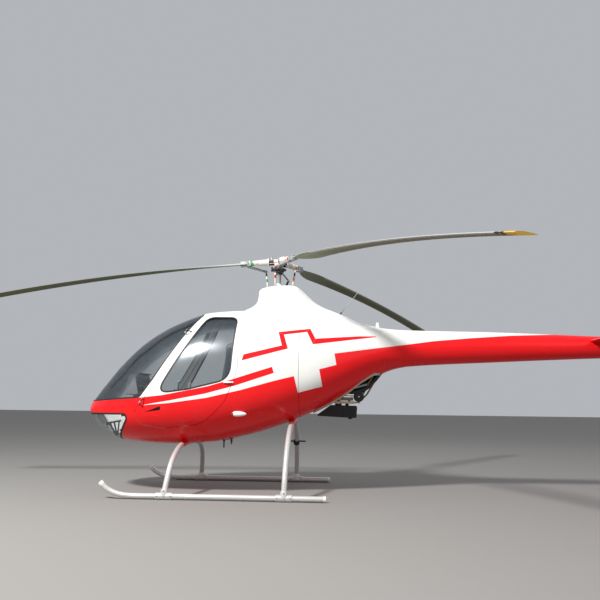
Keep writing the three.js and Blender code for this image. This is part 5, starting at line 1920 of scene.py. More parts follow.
def bow_path(name):
    """The middle line of a cross tube, from its left foot over the belly to its right foot."""
    foot_x, top_x, half, top = GEAR_BOWS[name]
    low = half[0][1]

    def x_at(z):
        return foot_x + (top_x - foot_x) * (z - low) / (top - low)

    left = [from_mast(x_at(z), -y, z) for y, z in half]
    right = [from_mast(x_at(z), y, z) for y, z in reversed(half)]
    return left + [from_mast(top_x, 0, top)] + right


def make_cross_tube(name):
    """A bowed cross tube with the fairing that closes the belly round it."""
    path = bow_path(name)
    piece = Piece()
    piece.add(tube(path, BOW_RADIUS, 150, 32))
    piece.done(f"bow_{name}", "airframe", "gear", [f"cross_tube_{name}"])
    enters_at = {"front": 0.453, "rear": 0.660}[name]
    first = next(i / 400 for i in range(200) if spline(path, i / 400)[0].z > enters_at)
    points = [spline(path, first + (1 - 2 * first) * i / 24)[0] for i in range(25)]

    def radius(share):
        return BOW_RADIUS + 0.0015 + 0.006 * min(1, 6 * min(share, 1 - share))

    fairing = Piece()
    fairing.add(carved(tube(points, radius, 72, 36), ("DIFFERENCE", hull_solid(0.004))))
    fairing.done(f"leg_fairing_{name}", "airframe", "body")


def make_skid(word, side):
    """A skid: bent tube with caps, wear shoe, saddles with their bolts."""
    y = side * SKID_Y
    piece = Piece()
    run = [from_mast(x, y, z) for x, z in SKID_PATH]
    rear = [run[0], run[0].lerp(run[1], 0.5), run[1], run[1].lerp(run[2], 0.5), run[2],
            run[2].lerp(run[3], 0.6)]
    piece.add(tube(rear + run[3:], SKID_RADIUS, 150, 28), 0)
    tip, before = run[-1], run[-2]
    outward = (tip - before).normalized()
    piece.add(rod(tip - outward * 0.030, tip + outward * 0.004, SKID_RADIUS + 0.0012, 28, 0.004), 2)
    piece.add(bar((0.500, y, SKID_Z), (0.5265, y, SKID_Z), SKID_RADIUS + 0.0012, 28, 0.003), 2)
    piece.add(block((-1.190, y - 0.011, 0.0), (0.500, y + 0.011, 0.012), 0.003), 1)
    for x in (-1.16, -0.72, -0.42, -0.12, 0.30, 0.47):
        piece.add(block((x - 0.016, y - 0.0125, 0.003), (x + 0.016, y + 0.0125, 0.015), 0.002), 1)
        for sign in (-1, 1):
            spot = from_mast(x, y + sign * 0.0105, 0.009)
            piece.add(hex_bolt(spot, Vector((0, sign, 0)), 0.0035, 0.003), 3)
    for foot_x, *_ in GEAR_BOWS.values():
        sleeve = [(0, 0), (0, 0.027), (0.004, 0.0305), (0.146, 0.0305), (0.150, 0.027), (0.150, 0)]
        piece.add(spun(sleeve, (foot_x - 0.075, y, SKID_Z + 0.001), (foot_x, y, SKID_Z + 0.001),
                         40), 0)
        socket = [(0, 0), (0, 0.036), (0.022, 0.0335), (0.054, 0.032), (0.061, 0.0290), (0.061, 0)]
        piece.add(spun(socket, (foot_x, y, SKID_Z), (foot_x, y * 0.995, 0.092), 40), 0)
        for offset in (-0.060, 0.060):
            for sign in (-1, 1):
                spot = from_mast(foot_x + offset, y + sign * 0.0295, SKID_Z + 0.004)
                piece.add(hex_bolt(spot, Vector((0, sign, 0)), 0.0058, 0.0045), 3)
        band = [(0, 0), (0, 0.0318), (0.008, 0.0318), (0.008, 0)]
        for offset in (-0.046, 0.038):
            piece.add(spun(band, (foot_x + offset, y, SKID_Z + 0.001), (foot_x + 1, y, SKID_Z + 0.001), 40),
                      0)
        for sign in (-1, 1):
            spot = from_mast(foot_x, y + sign * 0.031, 0.078)
            piece.add(hex_bolt(spot, Vector((0, sign, 0)), 0.0055, 0.004), 3)
    piece.done(
        f"skid_tube_{word}", "airframe", "gear shoe white steel", [f"skid_{word}"]
    )


def make_leg_step():
    """The tread clamped round the right rear leg, with its grip strip."""
    piece = Piece()
    piece.add(block((0.097, 0.640, 0.446), (0.262, 0.690, 0.460), 0.004, 3), 0)
    for i in range(11):
        x = 0.108 + i * 0.0144
        piece.add(block((x - 0.002, 0.646, 0.4595), (x + 0.002, 0.684, 0.4612), 0.0005, 1), 1)
    clamp = [(0, 0), (0, 0.030), (0.004, 0.033), (0.048, 0.033), (0.052, 0.030), (0.052, 0)]
    piece.add(spun(clamp, (0.161, 0.640, 0.464), (0.161, 0.677, 0.425), 32), 0)
    piece.done("step_tread", "airframe", "black rubber", ["leg_step"])


def make_landing_gear():
    for name in GEAR_BOWS:
        make_cross_tube(name)
    for word, side in SIDES.items():
        make_skid(word, side)
    make_leg_step()


def make_engine_block():
    """A flat four-cylinder engine: crankcase, finned cylinders, heads, sump and pipes."""
    piece = Piece()
    piece.add(block((-0.180, -0.125, 0.866), (0.400, 0.125, 1.075), 0.022, 3), 0)
    piece.add(block((-0.120, -0.155, 0.806), (0.300, 0.155, 0.872), 0.018, 3), 0)
    piece.add(bar((0.395, 0, 0.985), (0.4195, 0, 0.985), 0.105, 40, 0.006), 1)
    piece.add(bar((-0.140, 0, 1.060), (-0.140, 0, 1.1285), 0.060, 32, 0.006), 1)
    for sign in (-1, 1):
        for x in (0.035, 0.205):
            fins = [(0, 0)]
            for i in range(9):
                start = 0.004 + 0.0165 * i
                fins += [(start, 0.056), (start + 0.001, 0.076), (start + 0.005, 0.076),
                         (start + 0.006, 0.056)]
            fins += [(0.156, 0.056), (0.156, 0)]
            base = from_mast(x, sign * 0.120, 0.962)
            piece.add(turned(fins, base, base + Vector((0, sign, 0)), 40), 0)
            piece.add(block((x - 0.070, sign * 0.272, 0.892), (x + 0.070, sign * 0.306, 1.034), 0.010, 3),
                      0)
            piece.add(block((x - 0.060, sign * 0.305, 0.902), (x + 0.060, sign * 0.3285, 1.024), 0.012, 3),
                      1)
            path = [(x, sign * 0.240, 0.905), (x + 0.02, sign * 0.215, 0.862),
                    (x + 0.10, sign * 0.170, 0.848),
                    (0.350, sign * 0.100, 0.862), (0.398, sign * 0.085, 0.890)]
            piece.add(tube_through(path, 0.017, 40, 18), 2)
            intake = [(x, sign * 0.245, 1.030), (x - 0.01, sign * 0.235, 1.085),
                      (x - 0.04, sign * 0.150, 1.106),
                      (x - 0.06, sign * 0.060, 1.095)]
            piece.add(tube_through(intake, 0.018, 30, 18), 1)
        piece.add(block((CABIN_BACK_X + BULKHEAD + 0.0003, sign * 0.156, 0.900),
                        (-0.150, sign * 0.204, 0.960), 0.004), 1)
        piece.add(bar((0.395, sign * 0.190, 1.100), (0.4202, sign * 0.190, 1.100), 0.026, 24, 0.002), 1)
        piece.add(bar((0.395, sign * 0.120, 0.925), (0.4202, sign * 0.120, 0.925), 0.026, 24, 0.002), 1)
        for z in (1.060, 1.115):
            piece.add(bar((0.30, sign * 0.185, z), (0.400, sign * 0.190, z), 0.010, 14), 1)
    piece.done("flat_engine", "airframe", "engine dark_metal shoe", ["engine_block"])


TRAY_TOP = 0.880


def make_engine_mounts():
    """The tube frame behind the engine, the sheet the silencer hangs from, and the tray over it."""
    upper, lower = (0.445, 0.190, 1.100), (0.445, 0.120, 0.925)
    knee, seat = (0.915, 0.070, 1.058), (1.195, 0.080, 1.320)
    on_leg = tuple(a + (b - a) * 0.8 for a, b in zip(upper, seat))
    piece = Piece()

    def pole(start, end, radius, material, sign=1):
        ends = [(x, y * sign, z) for x, y, z in (start, end)]
        piece.add(bar(*ends, radius, 22, 0.001), material)

    for sign in (-1, 1):
        pole(upper, seat, 0.014, 0, sign)
        pole(lower, knee, 0.011, 1, sign)
        pole(knee, on_leg, 0.011, 0, sign)
        pole(upper, lower, 0.012, 0, sign)
        pole((0.640, 0.084, 0.874), (0.640, 0.099, 0.980), 0.009, 1, sign)
        for x, y, z in (upper, lower):
            piece.add(block((0.4203, sign * (y - 0.024), z - 0.024), (x, sign * (y + 0.024), z + 0.024),
                            0.003), 4)
            piece.add(hex_bolt(from_mast(x, sign * y, z), Vector((1, 0, 0)), 0.009, 0.007), 5)
            piece.add(bar((x - 0.012, sign * y, z), (x + 0.016, sign * y, z), 0.019, 22, 0.003), 0)
        piece.add(block((1.190, sign * (seat[1] - 0.024), seat[2] - 0.024),
                        (1.2147, sign * (seat[1] + 0.024), seat[2] + 0.024), 0.003), 4)
        x, y, z = knee
        piece.add(bar((x - 0.002, sign * y - 0.013, z), (x - 0.002, sign * y + 0.013, z), 0.0145, 22,
                      0.002), 0)
    pole(lower, (lower[0], -lower[1], lower[2]), 0.011, 0)
    pole((1.010, 0.060, 1.130), (0.905, 0.060, 0.955), 0.0085, 0, -1)
    pole((0.905, 0.060, 0.955), (0.850, 0.052, 0.900), 0.0085, 0, -1)
    piece.add(block((0.580, -0.095, 0.868), (0.790, 0.095, TRAY_TOP), 0.002), 2)
    for sign in (-1, 1):
        piece.add(block((0.582, sign * 0.0905, 0.862), (0.788, sign * 0.0955, 0.886), 0.0015), 2)
    piece.add(block((0.780, -0.030, 0.868), (0.840, 0.030, TRAY_TOP), 0.002), 2)
    piece.add(block((0.600, -0.085, 0.893), (0.770, 0.085, 0.925), 0.004, 3), 3)
    for i in range(6):
        x = 0.618 + i * 0.027
        piece.add(block((x - 0.003, -0.0865, 0.897), (x + 0.003, 0.0865, 0.9215), 0.001, 1), 3)
    for x in (0.620, 0.730):
        for y in (-0.050, 0.050):
            piece.add(block((x - 0.010, y - 0.010, TRAY_TOP - 0.001), (x + 0.010, y + 0.010, 0.895), 0.001,
                            1), 4)
    for x in (0.600, 0.690, 0.775):
        for sign in (-1, 1):
            piece.add(hex_bolt(from_mast(x, sign * 0.080, TRAY_TOP), Vector((0, 0, 1)), 0.005, 0.004), 5)
    piece.add(block((0.655, -0.088, 0.936), (0.770, -0.066, 0.946), 0.002), 6)
    for x in (0.668, 0.757):
        piece.add(bar((x, -0.077, 0.922), (x, -0.077, 0.938), 0.004, 12), 5)
    piece.done(
        "engine_frame", "airframe",
        "brown arm_grey tan_plate shoe dark_metal steel orange",
        ["engine_mounts"],
    )


def make_silencer():
    """The black silencer box with pressed seams, its two necks with clamps and a short outlet."""
    outline = rounded_outline([(0.408, 0.743, 0.008), (0.548, 0.845, 0.010), (0.806, 0.838, 0.016),
                               (0.798, 0.725, 0.016)])
    piece = Piece()
    piece.add(slab(outline, -0.095, 0.095, 0.006, 3), 0)
    for y in (-0.0915, 0.0885):
        piece.add(slab(grown(outline, 0.0035), y, y + 0.003, 0.001, 1), 0)
    for x0, x1 in ((0.560, 0.572), (0.668, 0.680)):
        piece.add(block((x0, -0.0965, 0.744), (x1, 0.0965, 0.8435), 0.004, 2), 0)
    for x, y, radius in ((0.622, -0.052, 0.032), (0.708, 0.052, 0.016)):
        neck = [(0, 0), (0, radius), (0.010, radius), (0.012, radius + 0.002), (0.020, radius + 0.002)]
        neck += [(0.022, radius), (0.0296, radius), (0.0296, 0)]
        piece.add(spun(neck, (x, y, 0.838), (x, y, 0.9), 36), 0)
        piece.add(hex_bolt(from_mast(x, y - radius - 0.001, 0.854), Vector((0, -1, 0)), 0.004, 0.004), 1)
    outlet = [(0, 0), (0, 0.020), (0.018, 0.020), (0.018, 0.017), (0.004, 0.017), (0.004, 0)]
    piece.add(spun(outlet, (0.740, 0.045, 0.728), (0.742, 0.045, 0.700), 28), 0)
    piece.done("silencer_box", "airframe", "silencer shoe", ["silencer"])


def make_air_duct():
    """The cooling air's drum and the ribbed hose from it up to the bulkhead."""
    z = TRAY_TOP + 0.0003 + 0.052
    piece = Piece()
    drum = [(0, 0), (0, 0.046), (0.004, 0.052), (0.030, 0.052), (0.033, 0.0495), (0.040, 0.0495),
            (0.043, 0.052)]
    drum += [(0.097, 0.052), (0.100, 0.0495), (0.107, 0.0495), (0.110, 0.052), (0.136, 0.052),
             (0.140, 0.046), (0.140, 0)]
    piece.add(spun(drum, (0.825, -0.070, z), (0.825, 0.1, z), 48), 0)
    for sign in (-1, 1):
        piece.add(hex_bolt(from_mast(0.825, sign * 0.0698, z), Vector((0, sign, 0)), 0.006, 0.004), 1)
    for y, low, radius in ((-0.052, 0.962, 0.024), (0.050, 0.966, 0.026), (-0.012, 1.000, 0.028)):
        loop = [(0.700, y * 0.6, low + 0.020), (0.800, y, low + 0.022), (0.900, y, low + 0.060),
                (0.990, y, low + 0.150), (1.080, y * 0.7, low + 0.270)]
        piece.add(tube_through(loop, radius, 60, 20), 0)
    route = [(0.845, 0.955), (0.890, 1.030), (0.935, 1.095), (0.985, 1.178), (1.060, 1.288), (1.205, 1.330)]
    points = [from_mast(x, 0, height) for x, height in route]
    piece.add(tube(points, lambda share: 0.0262 + 0.0016 * math.sin(share * 260), 260, 26), 0)
    for share in (0.035, 0.965):
        place, along = spline(points, share)
        ring = [(0, 0), (0, 0.0295), (0.010, 0.0295), (0.010, 0)]
        piece.add(turned(ring, place, place + along, 32), 1)
    for sign, drop in ((-1, 0.0), (1, 0.02)):
        pipe = [(0.440, sign * 0.070, 1.010), (0.560, sign * 0.060, 0.985 + drop),
                (0.700, sign * 0.045, 0.975 + drop),
                (0.820, sign * 0.036, 1.000 + drop), (0.930, sign * 0.034, 1.075 + drop)]
        piece.add(tube_through(pipe, 0.011, 60, 16), 0)
    piece.done("air_hose", "airframe", "hose steel", ["air_duct"])


def make_engine():
    make_engine_block()
    make_engine_mounts()
    make_silencer()
    make_air_duct()


CONSOLE_PEDESTAL = [(-1.500, 0.5903, 0.0), (-1.445, 0.960, 0.040), (-1.330, 0.960, 0.040),
                    (-1.290, 0.5903, 0.0)]
CONSOLE_PANEL = [(-1.490, 0.925, 0.020), (-1.445, 1.140, 0.040), (-1.390, 1.140, 0.015),
                 (-1.345, 0.925, 0.020)]
GAUGES = [
    # Across, share of the way up the panel, radius
    (-0.215, 0.64, 0.036), (-0.125, 0.64, 0.036), (-0.035, 0.64, 0.036), (0.055, 0.64, 0.036),
    (0.145, 0.66, 0.028), (0.215, 0.66, 0.028), (-0.215, 0.25, 0.026), (-0.145, 0.25, 0.026),
    (-0.075, 0.25, 0.026), (0.145, 0.28, 0.026), (0.215, 0.28, 0.026),
]


def make_console():
    """The instrument pedestal and its panel, with gauges, switches and a radio stack."""
    piece = Piece()
    blank = hull_solid(WALL + 0.002, finer=0.6)
    for corners, half, bevel in ((CONSOLE_PEDESTAL, 0.090, 0.008), (CONSOLE_PANEL, 0.270, 0.010)):
        body = carved(slab(rounded_outline(corners), -half, half, bevel, 3), ("INTERSECT", blank.copy()))
        piece.add(body, 0)
    low, high = Vector((-1.345, 0, 0.925)), Vector((-1.390, 0, 1.140))
    rise = high - low
    outward = Vector((rise.z, 0, -rise.x)).normalized()
    upward = rise.normalized()
    for y, share, radius in GAUGES:
        centre = from_mast(*(low + rise * share + Vector((0, y, 0)) - outward * 0.001))
        bezel = [(0, 0), (0, radius), (0.006, radius), (0.008, radius * 0.92), (0.005, radius * 0.82),
                 (0.003, radius * 0.82), (0.003, 0)]
        piece.add(turned(bezel, centre, centre + outward, 36), 1)
        piece.add(turned([(0.0031, 0), (0.0031, radius * 0.81), (0.0036, radius * 0.81), (0.0036, 0)],
                         centre, centre + outward, 32), 2)
        for i in range(10):
            turn = math.radians(225 - 27 * i)
            out = Vector((0, math.cos(turn), 0)) + upward * math.sin(turn)
            spot = centre + outward * 0.0042 + out * radius * 0.68
            piece.add(rod(spot - out * radius * 0.08, spot + out * radius * 0.08, 0.0007, 6), 3)
        turn = math.radians(90 + 400 * y)
        out = Vector((0, math.cos(turn), 0)) + upward * math.sin(turn)
        spot = centre + outward * 0.0044
        piece.add(rod(spot - out * radius * 0.15, spot + out * radius * 0.62, 0.0009, 8), 3)
        piece.add(rod(spot - outward * 0.001, spot + outward * 0.0015, 0.003, 14), 1)
    for i in range(9):
        y = -0.080 + 0.020 * i
        base = from_mast(*(low + rise * 0.07 + Vector((0, y, 0))))
        piece.add(rod(base - outward * 0.001, base + outward * 0.003, 0.005, 14, 0.001), 4)
        piece.add(rod(base, base + outward * 0.016 + upward * 0.005, 0.0018, 10, 0.0005), 4)
    for z0 in (0.640, 0.712, 0.784, 0.856):
        share = (z0 - 0.5903) / (0.960 - 0.5903)
        x = -1.290 - 0.040 * share
        piece.add(block((x - 0.020, -0.076, z0), (x + 0.005, 0.076, z0 + 0.058), 0.003), 1)
        for y in (-0.058, 0.058):
            spot = from_mast(x + 0.004, y, z0 + 0.029)
            piece.add(rod(spot, spot + Vector((0.014, 0, 0)), 0.009, 20, 0.002), 4)
        piece.add(block((x, -0.040, z0 + 0.018), (x + 0.0065, 0.040, z0 + 0.042), 0.001), 2)
    hood = [(-1.475, 1.128, 0.0), (-1.450, 1.152, 0.02), (-1.375, 1.150, 0.004), (-1.368, 1.140, 0.002),
            (-1.440, 1.132, 0.0)]
    piece.add(carved(slab(rounded_outline(hood), -0.276, 0.276, 0.002), ("INTERSECT", blank)), 1)
    piece.done(
        "console", "airframe", "light_grey black gauge white steel",
        ["instrument_console"],
    )


def make_controls():
    """Sticks, pedals and their run along the floor, and the collective lever between the seats."""
    z = FLOOR_Z + 0.024
    piece = Piece()

    def pole(start, end, radius, material=0):
        piece.add(bar(start, end, radius, 20, 0.001), material)

    pole((-1.395, 0, z), (-0.820, 0, z), 0.012)
    for x, half in ((-1.395, 0.400), (-1.030, 0.300)):
        pole((x, -half, z), (x, half, z), 0.012)
    for x, y in ((-1.395, 0.240), (-1.030, 0.275)):
        for side in (-1, 1):
            piece.add(block((x - 0.022, side * y - 0.020, FLOOR_Z + 0.0003),
                            (x + 0.022, side * y + 0.020, z + 0.004),
                            0.003), 1)
    for y in (-0.370, -0.190, 0.190, 0.370):
        pole((-1.395, y, z), (-1.440, y, 0.745), 0.008)
        plate = soft_box((-0.007, -0.045, -0.0475), (0.007, 0.045, 0.0475), 0.004, 3)
        turn = Matrix.Translation(from_mast(-1.443, y, 0.760)) @ Matrix.Rotation(0.35, 4, "Y")
        piece.add(turned_about(plate, turn), 0)
        for i in range(5):
            rib = soft_box((0.006, -0.038, -0.036 + 0.017 * i), (0.010, 0.038, -0.030 + 0.017 * i), 0.001,
                           1)
            piece.add(turned_about(rib, turn), 2)
    for y in (-0.275, 0.275):
        path = [(-1.030, y, z), (-1.050, y, 0.780), (-1.000, y, 0.880), (-0.965, y, 0.960)]
        piece.add(tube_through(path, 0.0115, 40, 20), 0)
        boot = [(0, 0)] + [(0.010 * i,
                            0.030 - 0.0016 * i + (0.003 if i % 2 else 0)) for i in range(10)] + [(0.095, 0)]
        piece.add(spun(boot, (-1.032, y, z + 0.010), (-1.042, y, z + 0.11), 28), 2)
        grip = [(0, 0), (0, 0.013), (0.006, 0.017), (0.030, 0.0185), (0.050, 0.0165), (0.072, 0.0180),
                (0.092, 0.0165)]
        grip += [(0.104, 0.018), (0.108, 0.012), (0.108, 0)]
        piece.add(spun(grip, (-0.967, y, 0.954), (-0.950, y, 1.060), 28), 2)
        piece.add(bar((-0.952, y, 1.048), (-0.949, y, 1.066), 0.006, 16, 0.001), 3)
        piece.add(bar((-0.955, y - 0.012, 1.040), (-0.955, y - 0.021, 1.042), 0.004, 14, 0.001), 4)
    piece.done(
        "sticks_and_pedals", "airframe", "black dark_metal arm_grey white light_grey",
        ["flight_controls"],
    )
    lever = Piece()
    lever.add(bar((-0.520, -0.030, 0.640), (-0.520, 0.030, 0.640), 0.016, 24, 0.002), 1)
    lever.add(block((-0.540, -0.022, 0.6003), (-0.500, 0.022, 0.644), 0.003), 1)
    lever.add(bar((-0.520, 0, 0.640), (-0.790, 0, 0.880), 0.0125, 24, 0.001), 0)
    twist = [(0, 0), (0, 0.016)]
    for i in range(12):
        twist += [(0.004 + 0.009 * i, 0.0195), (0.009 + 0.009 * i, 0.0195), (0.0105 + 0.009 * i, 0.018)]
    twist += [(0.122, 0.018), (0.126, 0.012), (0.126, 0)]
    lever.add(spun(twist, (-0.760, 0, 0.857), (-0.860, 0, 0.934), 28), 2)
    lever.done("collective", "airframe", "black dark_metal rubber",
               ["collective_lever"])


def swollen(shape, cap, voxel):
    """A closed form blown up like a stitched pad, no point moving further than cap."""
    mesh = bpy.data.meshes.new("pad")
    shape.to_mesh(mesh)
    shape.free()
    pad = bpy.data.objects.new("pad", mesh)
    bpy.context.scene.collection.objects.link(pad)
    remesh = pad.modifiers.new("remesh", "REMESH")
    remesh.mode = "VOXEL"
    remesh.voxel_size = voxel
    bpy.context.view_layer.update()
    even = bpy.data.meshes.new_from_object(pad.evaluated_get(bpy.context.evaluated_depsgraph_get()))
    pad.modifiers.clear()
    pad.data = even
    before = [vert.co.copy() for vert in even.vertices]
    cloth = pad.modifiers.new("cloth", "CLOTH")
    cloth.settings.effector_weights.gravity = 0.0
    cloth.settings.use_pressure = True
    cloth.settings.uniform_pressure_force = 4.0
    cloth.settings.quality = 4
    scene = bpy.context.scene
    for number in range(1, 21):
        scene.frame_set(number)
    bpy.context.view_layer.update()
    blown = bpy.data.meshes.new_from_object(pad.evaluated_get(bpy.context.evaluated_depsgraph_get()))
    after = [vert.co.copy() for vert in blown.vertices]
    pad.modifiers.clear()
    scene.frame_set(1)
    bpy.data.meshes.remove(blown)
    for vert, start, end in zip(even.vertices, before, after):
        move = end - start
        if move.length > cap:
            move = move.normalized() * cap
        vert.co = start + move
    result = bmesh.new()
    result.from_mesh(even)
    bpy.data.objects.remove(pad)
    bpy.data.meshes.remove(mesh)
    bpy.data.meshes.remove(even)
    for _ in range(3):
        bmesh.ops.smooth_vert(
            result, verts=result.verts, factor=0.4, use_axis_x=True, use_axis_y=True, use_axis_z=True
        )
    return result


SEAT_PAD = [(-0.862, 0.785, 0.020), (-0.853, 0.826, 0.026), (-0.520, 0.804, 0.040), (-0.492, 0.786, 0.010),
            (-0.500, 0.757, 0.010), (-0.850, 0.781, 0.008)]
BACK_PAD = [(-0.500, 0.815, 0.026), (-0.452, 1.290, 0.020), (-0.445, 1.402, 0.026), (-0.404, 1.404, 0.020),
            (-0.408, 1.300, 0.010), (-0.462, 0.808, 0.012)]
PAD_SEAMS = (0.205, 0.355)


def make_cushions():
    """Seat and back cushions: blown pads with sewn channels, and the harness on each seat."""
    sizes = bpy.context.scene.helicopter_shape
    blown = []
    for outline, facing in ((SEAT_PAD, Vector((-0.07, 0, 1)).normalized()),
                            (BACK_PAD, Vector((-1, 0, 0.11)).normalized())):
        shape = swollen(
            slab(rounded_outline(outline, 4), 0.107, 0.453, 0.010), sizes.pad_swell, sizes.pad_voxel
        )
        for vert in shape.verts:
            lean = max(0.0, facing.dot(vert.normal))
            for seam in PAD_SEAMS:
                away = (abs(vert.co.y) - seam) / 0.006
                vert.co -= facing * (0.0075 * math.exp(-away * away) * lean)
        blown.append(shape)
    for word, side in SIDES.items():
        piece = Piece()
        for shape in blown:
            own = shape.copy()
            if side < 0:
                mirrored(own)
            piece.add(own, 0)
        pad = piece.done(
            f"cushion_{word}", "airframe", "cloth", [f"seat_cushion_{word}"], sharp=80
        )
    for shape in blown:
        shape.free()
    for word, side in SIDES.items():
        make_harness(word, side)


def strap(points, width, thickness, across, steps=40):
    """A flat strap along a smooth curve, its width along a given direction."""
    sideways = Vector(across).normalized()

    def place(u, v):
        centre, along = spline(points, round(v * steps) / steps)
        out = along.cross(sideways).normalized()
        c, s = math.cos(u * math.tau), math.sin(u * math.tau)
        return (
            centre + sideways * signed_power(c, 0.3) * width / 2 + out * signed_power(s,
                                                                                      0.3) * thickness / 2
        )

    return surface(place, 16, steps)


def make_harness(word, side):
    """Shoulder and lap webbing lying on the cushions, with a buckle."""
    piece = Piece()
    y = side * 0.280
    for offset in (-0.070, 0.070):
        path = [(-0.372, y + offset, 1.424), (-0.418, y + offset, 1.428), (-0.462, y + offset, 1.400),
                (-0.470, y + offset * 0.95, 1.300), (-0.500, y + offset * 0.8, 1.100),
                (-0.528, y + offset * 0.5, 0.930), (-0.545, y + offset * 0.2, 0.868)]
        piece.add(strap([from_mast(*p) for p in path], 0.044, 0.0022, (0, 1, 0)), 0)
    for sign in (-1, 1):
        path = [(-0.520, y + sign * 0.196, 0.770), (-0.535, y + sign * 0.188, 0.812),
                (-0.545, y + sign * 0.140, 0.838),
                (-0.552, y + sign * 0.070, 0.846), (-0.555, y + sign * 0.015, 0.850)]
        piece.add(strap([from_mast(*p) for p in path], 0.042, 0.0022, (-1, 0, 0.1)), 0)
    piece.add(block((-0.585, y - 0.026, 0.846), (-0.522, y + 0.026, 0.866), 0.006, 3), 1)
    piece.add(block((-0.572, y - 0.012, 0.865), (-0.545, y + 0.012, 0.869), 0.0015), 2)
    piece.done(f"harness_{word}", "airframe", "webbing steel mark_red")


def make_cabin():
    """Floor, seats, controls and console."""
    paint_node("cabin_floor", "lining")
    paint_node("seat_base", "lining")
    make_console()
    make_controls()
    make_cushions()
    mat = Piece()
    for side in (-1, 1):
        y0, y1 = sorted((side * 0.115, side * 0.400))
        mat.add(block((-1.290, y0, FLOOR_Z), (-0.930, y1, FLOOR_Z + 0.006), 0.0025), 0)
        for i in range(12):
            x = -1.270 + 0.029 * i
            mat.add(block((x, y0 + 0.015, FLOOR_Z + 0.005), (x + 0.008, y1 - 0.015, FLOOR_Z + 0.008), 0.001,
                          1), 0)
    mat.done("floor_mats", "airframe", "rubber")


def make_position_lamp(word, side):
    """A white teardrop on the hull's side with its coloured lens at the front."""
    piece = Piece()
    profile = [(0.0, 0.0)]
    for i in range(1, 24):
        share = i / 24
        profile.append((0.156 * share, 0.0285 * 2.05 * math.sqrt(share) * (1 - share) ** 0.62 * 0.92))
    profile.append((0.156, 0.0))
    start = from_mast(-0.383, side * 0.556, 0.755)
    body = carved(
        turned(profile, start, start + Vector((1, 0, 0)), 36),
        ("DIFFERENCE", hull_solid(0.001)),
    )
    for face in body.faces:
        face.smooth = True
        face.material_index = 1 if face.calc_center_median().x - MAST_X < -0.352 else 0
    piece.shape = body
    lens = "lens_red" if side < 0 else "lens_green"
    piece.done(
        f"side_lamp_{word}", "airframe", f"white {lens}",
        [f"position_lamp_{word}"],
    )


def make_fittings():
    """Lamps and antennas."""
    for word, side in SIDES.items():
        make_position_lamp(word, side)
    lamp = Piece()
    front, back = from_mast(-1.9, 0, 0.560), from_mast(-1.7, 0, 0.606)
    bowl = [(0.105, 0), (0.105, 0.0455), (0.200, 0.0455), (0.200, 0)]
    lamp.add(carved(turned(bowl, front, back, 48), ("INTERSECT", hull_solid(0.004))), 0)
    lamp.done("nose_lamp", "airframe", "lens_clear", ["landing_lamp"])

    whip = Piece()
    whip.add(bar((0.632, 0, 1.759), (0.818, 0, 1.991), 0.0030, 16, 0.0005, 0.0020), 0)
    base = [(-0.030, 0), (-0.030, 0.018), (-0.006, 0.016), (0.002, 0.0095), (0.030, 0.0085),
            (0.052, 0.0060),
            (0.056, 0.0040), (0.056, 0)]
    whip.add(spun(base, (0.618, 0, 1.741), (0.650, 0, 1.782), 28), 1)
    whip.done("whip_aerial", "airframe", "arm_grey rubber", ["whip_antenna"])

    blade = Piece()
    outline = rounded_outline([(0.990, 1.600, 0.0), (1.003, 1.680, 0.006), (1.026, 1.680, 0.006),
                               (1.040, 1.600, 0.0)])
    blade.add(slab(outline, -0.006, 0.006, 0.004, 3), 0)
    blade.add(spun([(-0.030, 0), (-0.030, 0.034), (0.004, 0.033), (0.008, 0.024), (0.008, 0)],
                   (1.015, 0, 1.628), (1.017, 0, 1.7), 36), 0)
    blade.done("spine_aerial", "airframe", "white", ["spine_antenna"])

    belly = Piece()
    for x, low in ((-0.526, 0.410), (-0.450, 0.447)):
        belly.add(bar((x, 0, 0.520), (x, 0, low), 0.0068, 20, 0.002), 0)
        belly.add(spun([(0, 0), (0, 0.013), (0.012, 0.011), (0.016, 0.007), (0.016, 0)], (x, 0, 0.486),
                       (x, 0, 0.4), 24), 1)
    plate = rounded_outline([(-0.545, 0.482, 0.004), (-0.431, 0.498, 0.004), (-0.431, 0.520, 0.0),
                             (-0.545, 0.520, 0.0)])
    belly.add(carved(slab(plate, -0.010, 0.010, 0.002), ("DIFFERENCE", hull_solid(0.002))), 1)
    belly.done("belly_rods", "airframe", "black dark_metal", ["belly_antennas"])


def make_stage():
    """A wide plain floor, soft light, and the photograph's camera."""
    stage = bpy.context.scene.helicopter_stage
    make = Finish("studio_floor")
    place = make.place()
    tone = make.noise(place, 0.6, 3.0)
    floor_material = make.surface(
        Base_Color=make.mix(tone, tuple(c * 0.97 for c in stage.floor),
                            tuple(c * 1.03 for c in stage.floor)),
        Roughness=0.85,
    )
    floor = bmesh.new()
    bmesh.ops.create_grid(floor, x_segments=1, y_segments=1, size=60)
    mesh = bpy.data.meshes.new("studio_floor")
    floor.to_mesh(mesh)
    floor.free()
    mesh.materials.append(floor_material)
    ground = bpy.data.objects.new("studio_floor", mesh)
    bpy.context.scene.collection.objects.link(ground)

    world = bpy.data.worlds.new("studio")
    world.use_nodes = True
    background = world.node_tree.nodes["Background"]
    background.inputs["Color"].default_value = (0.90, 0.93, 0.98, 1)
    background.inputs["Strength"].default_value = stage.sky
    bpy.context.scene.world = world

    add_softbox("key", (-4.5, -6.5, 8.0), (-0.3, 0, 1.0), 1.2, stage.key_power)
    add_softbox("fill", (7.0, -7.0, 5.0), (0.3, 0, 1.2), 6.0, stage.fill_power)
    add_softbox("back", (2.0, 8.0, 7.0), (0, 0, 1.2), 6.0, stage.fill_power)
    add_camera(stage.lens)
    bpy.context.scene.view_settings.view_transform = "Standard"


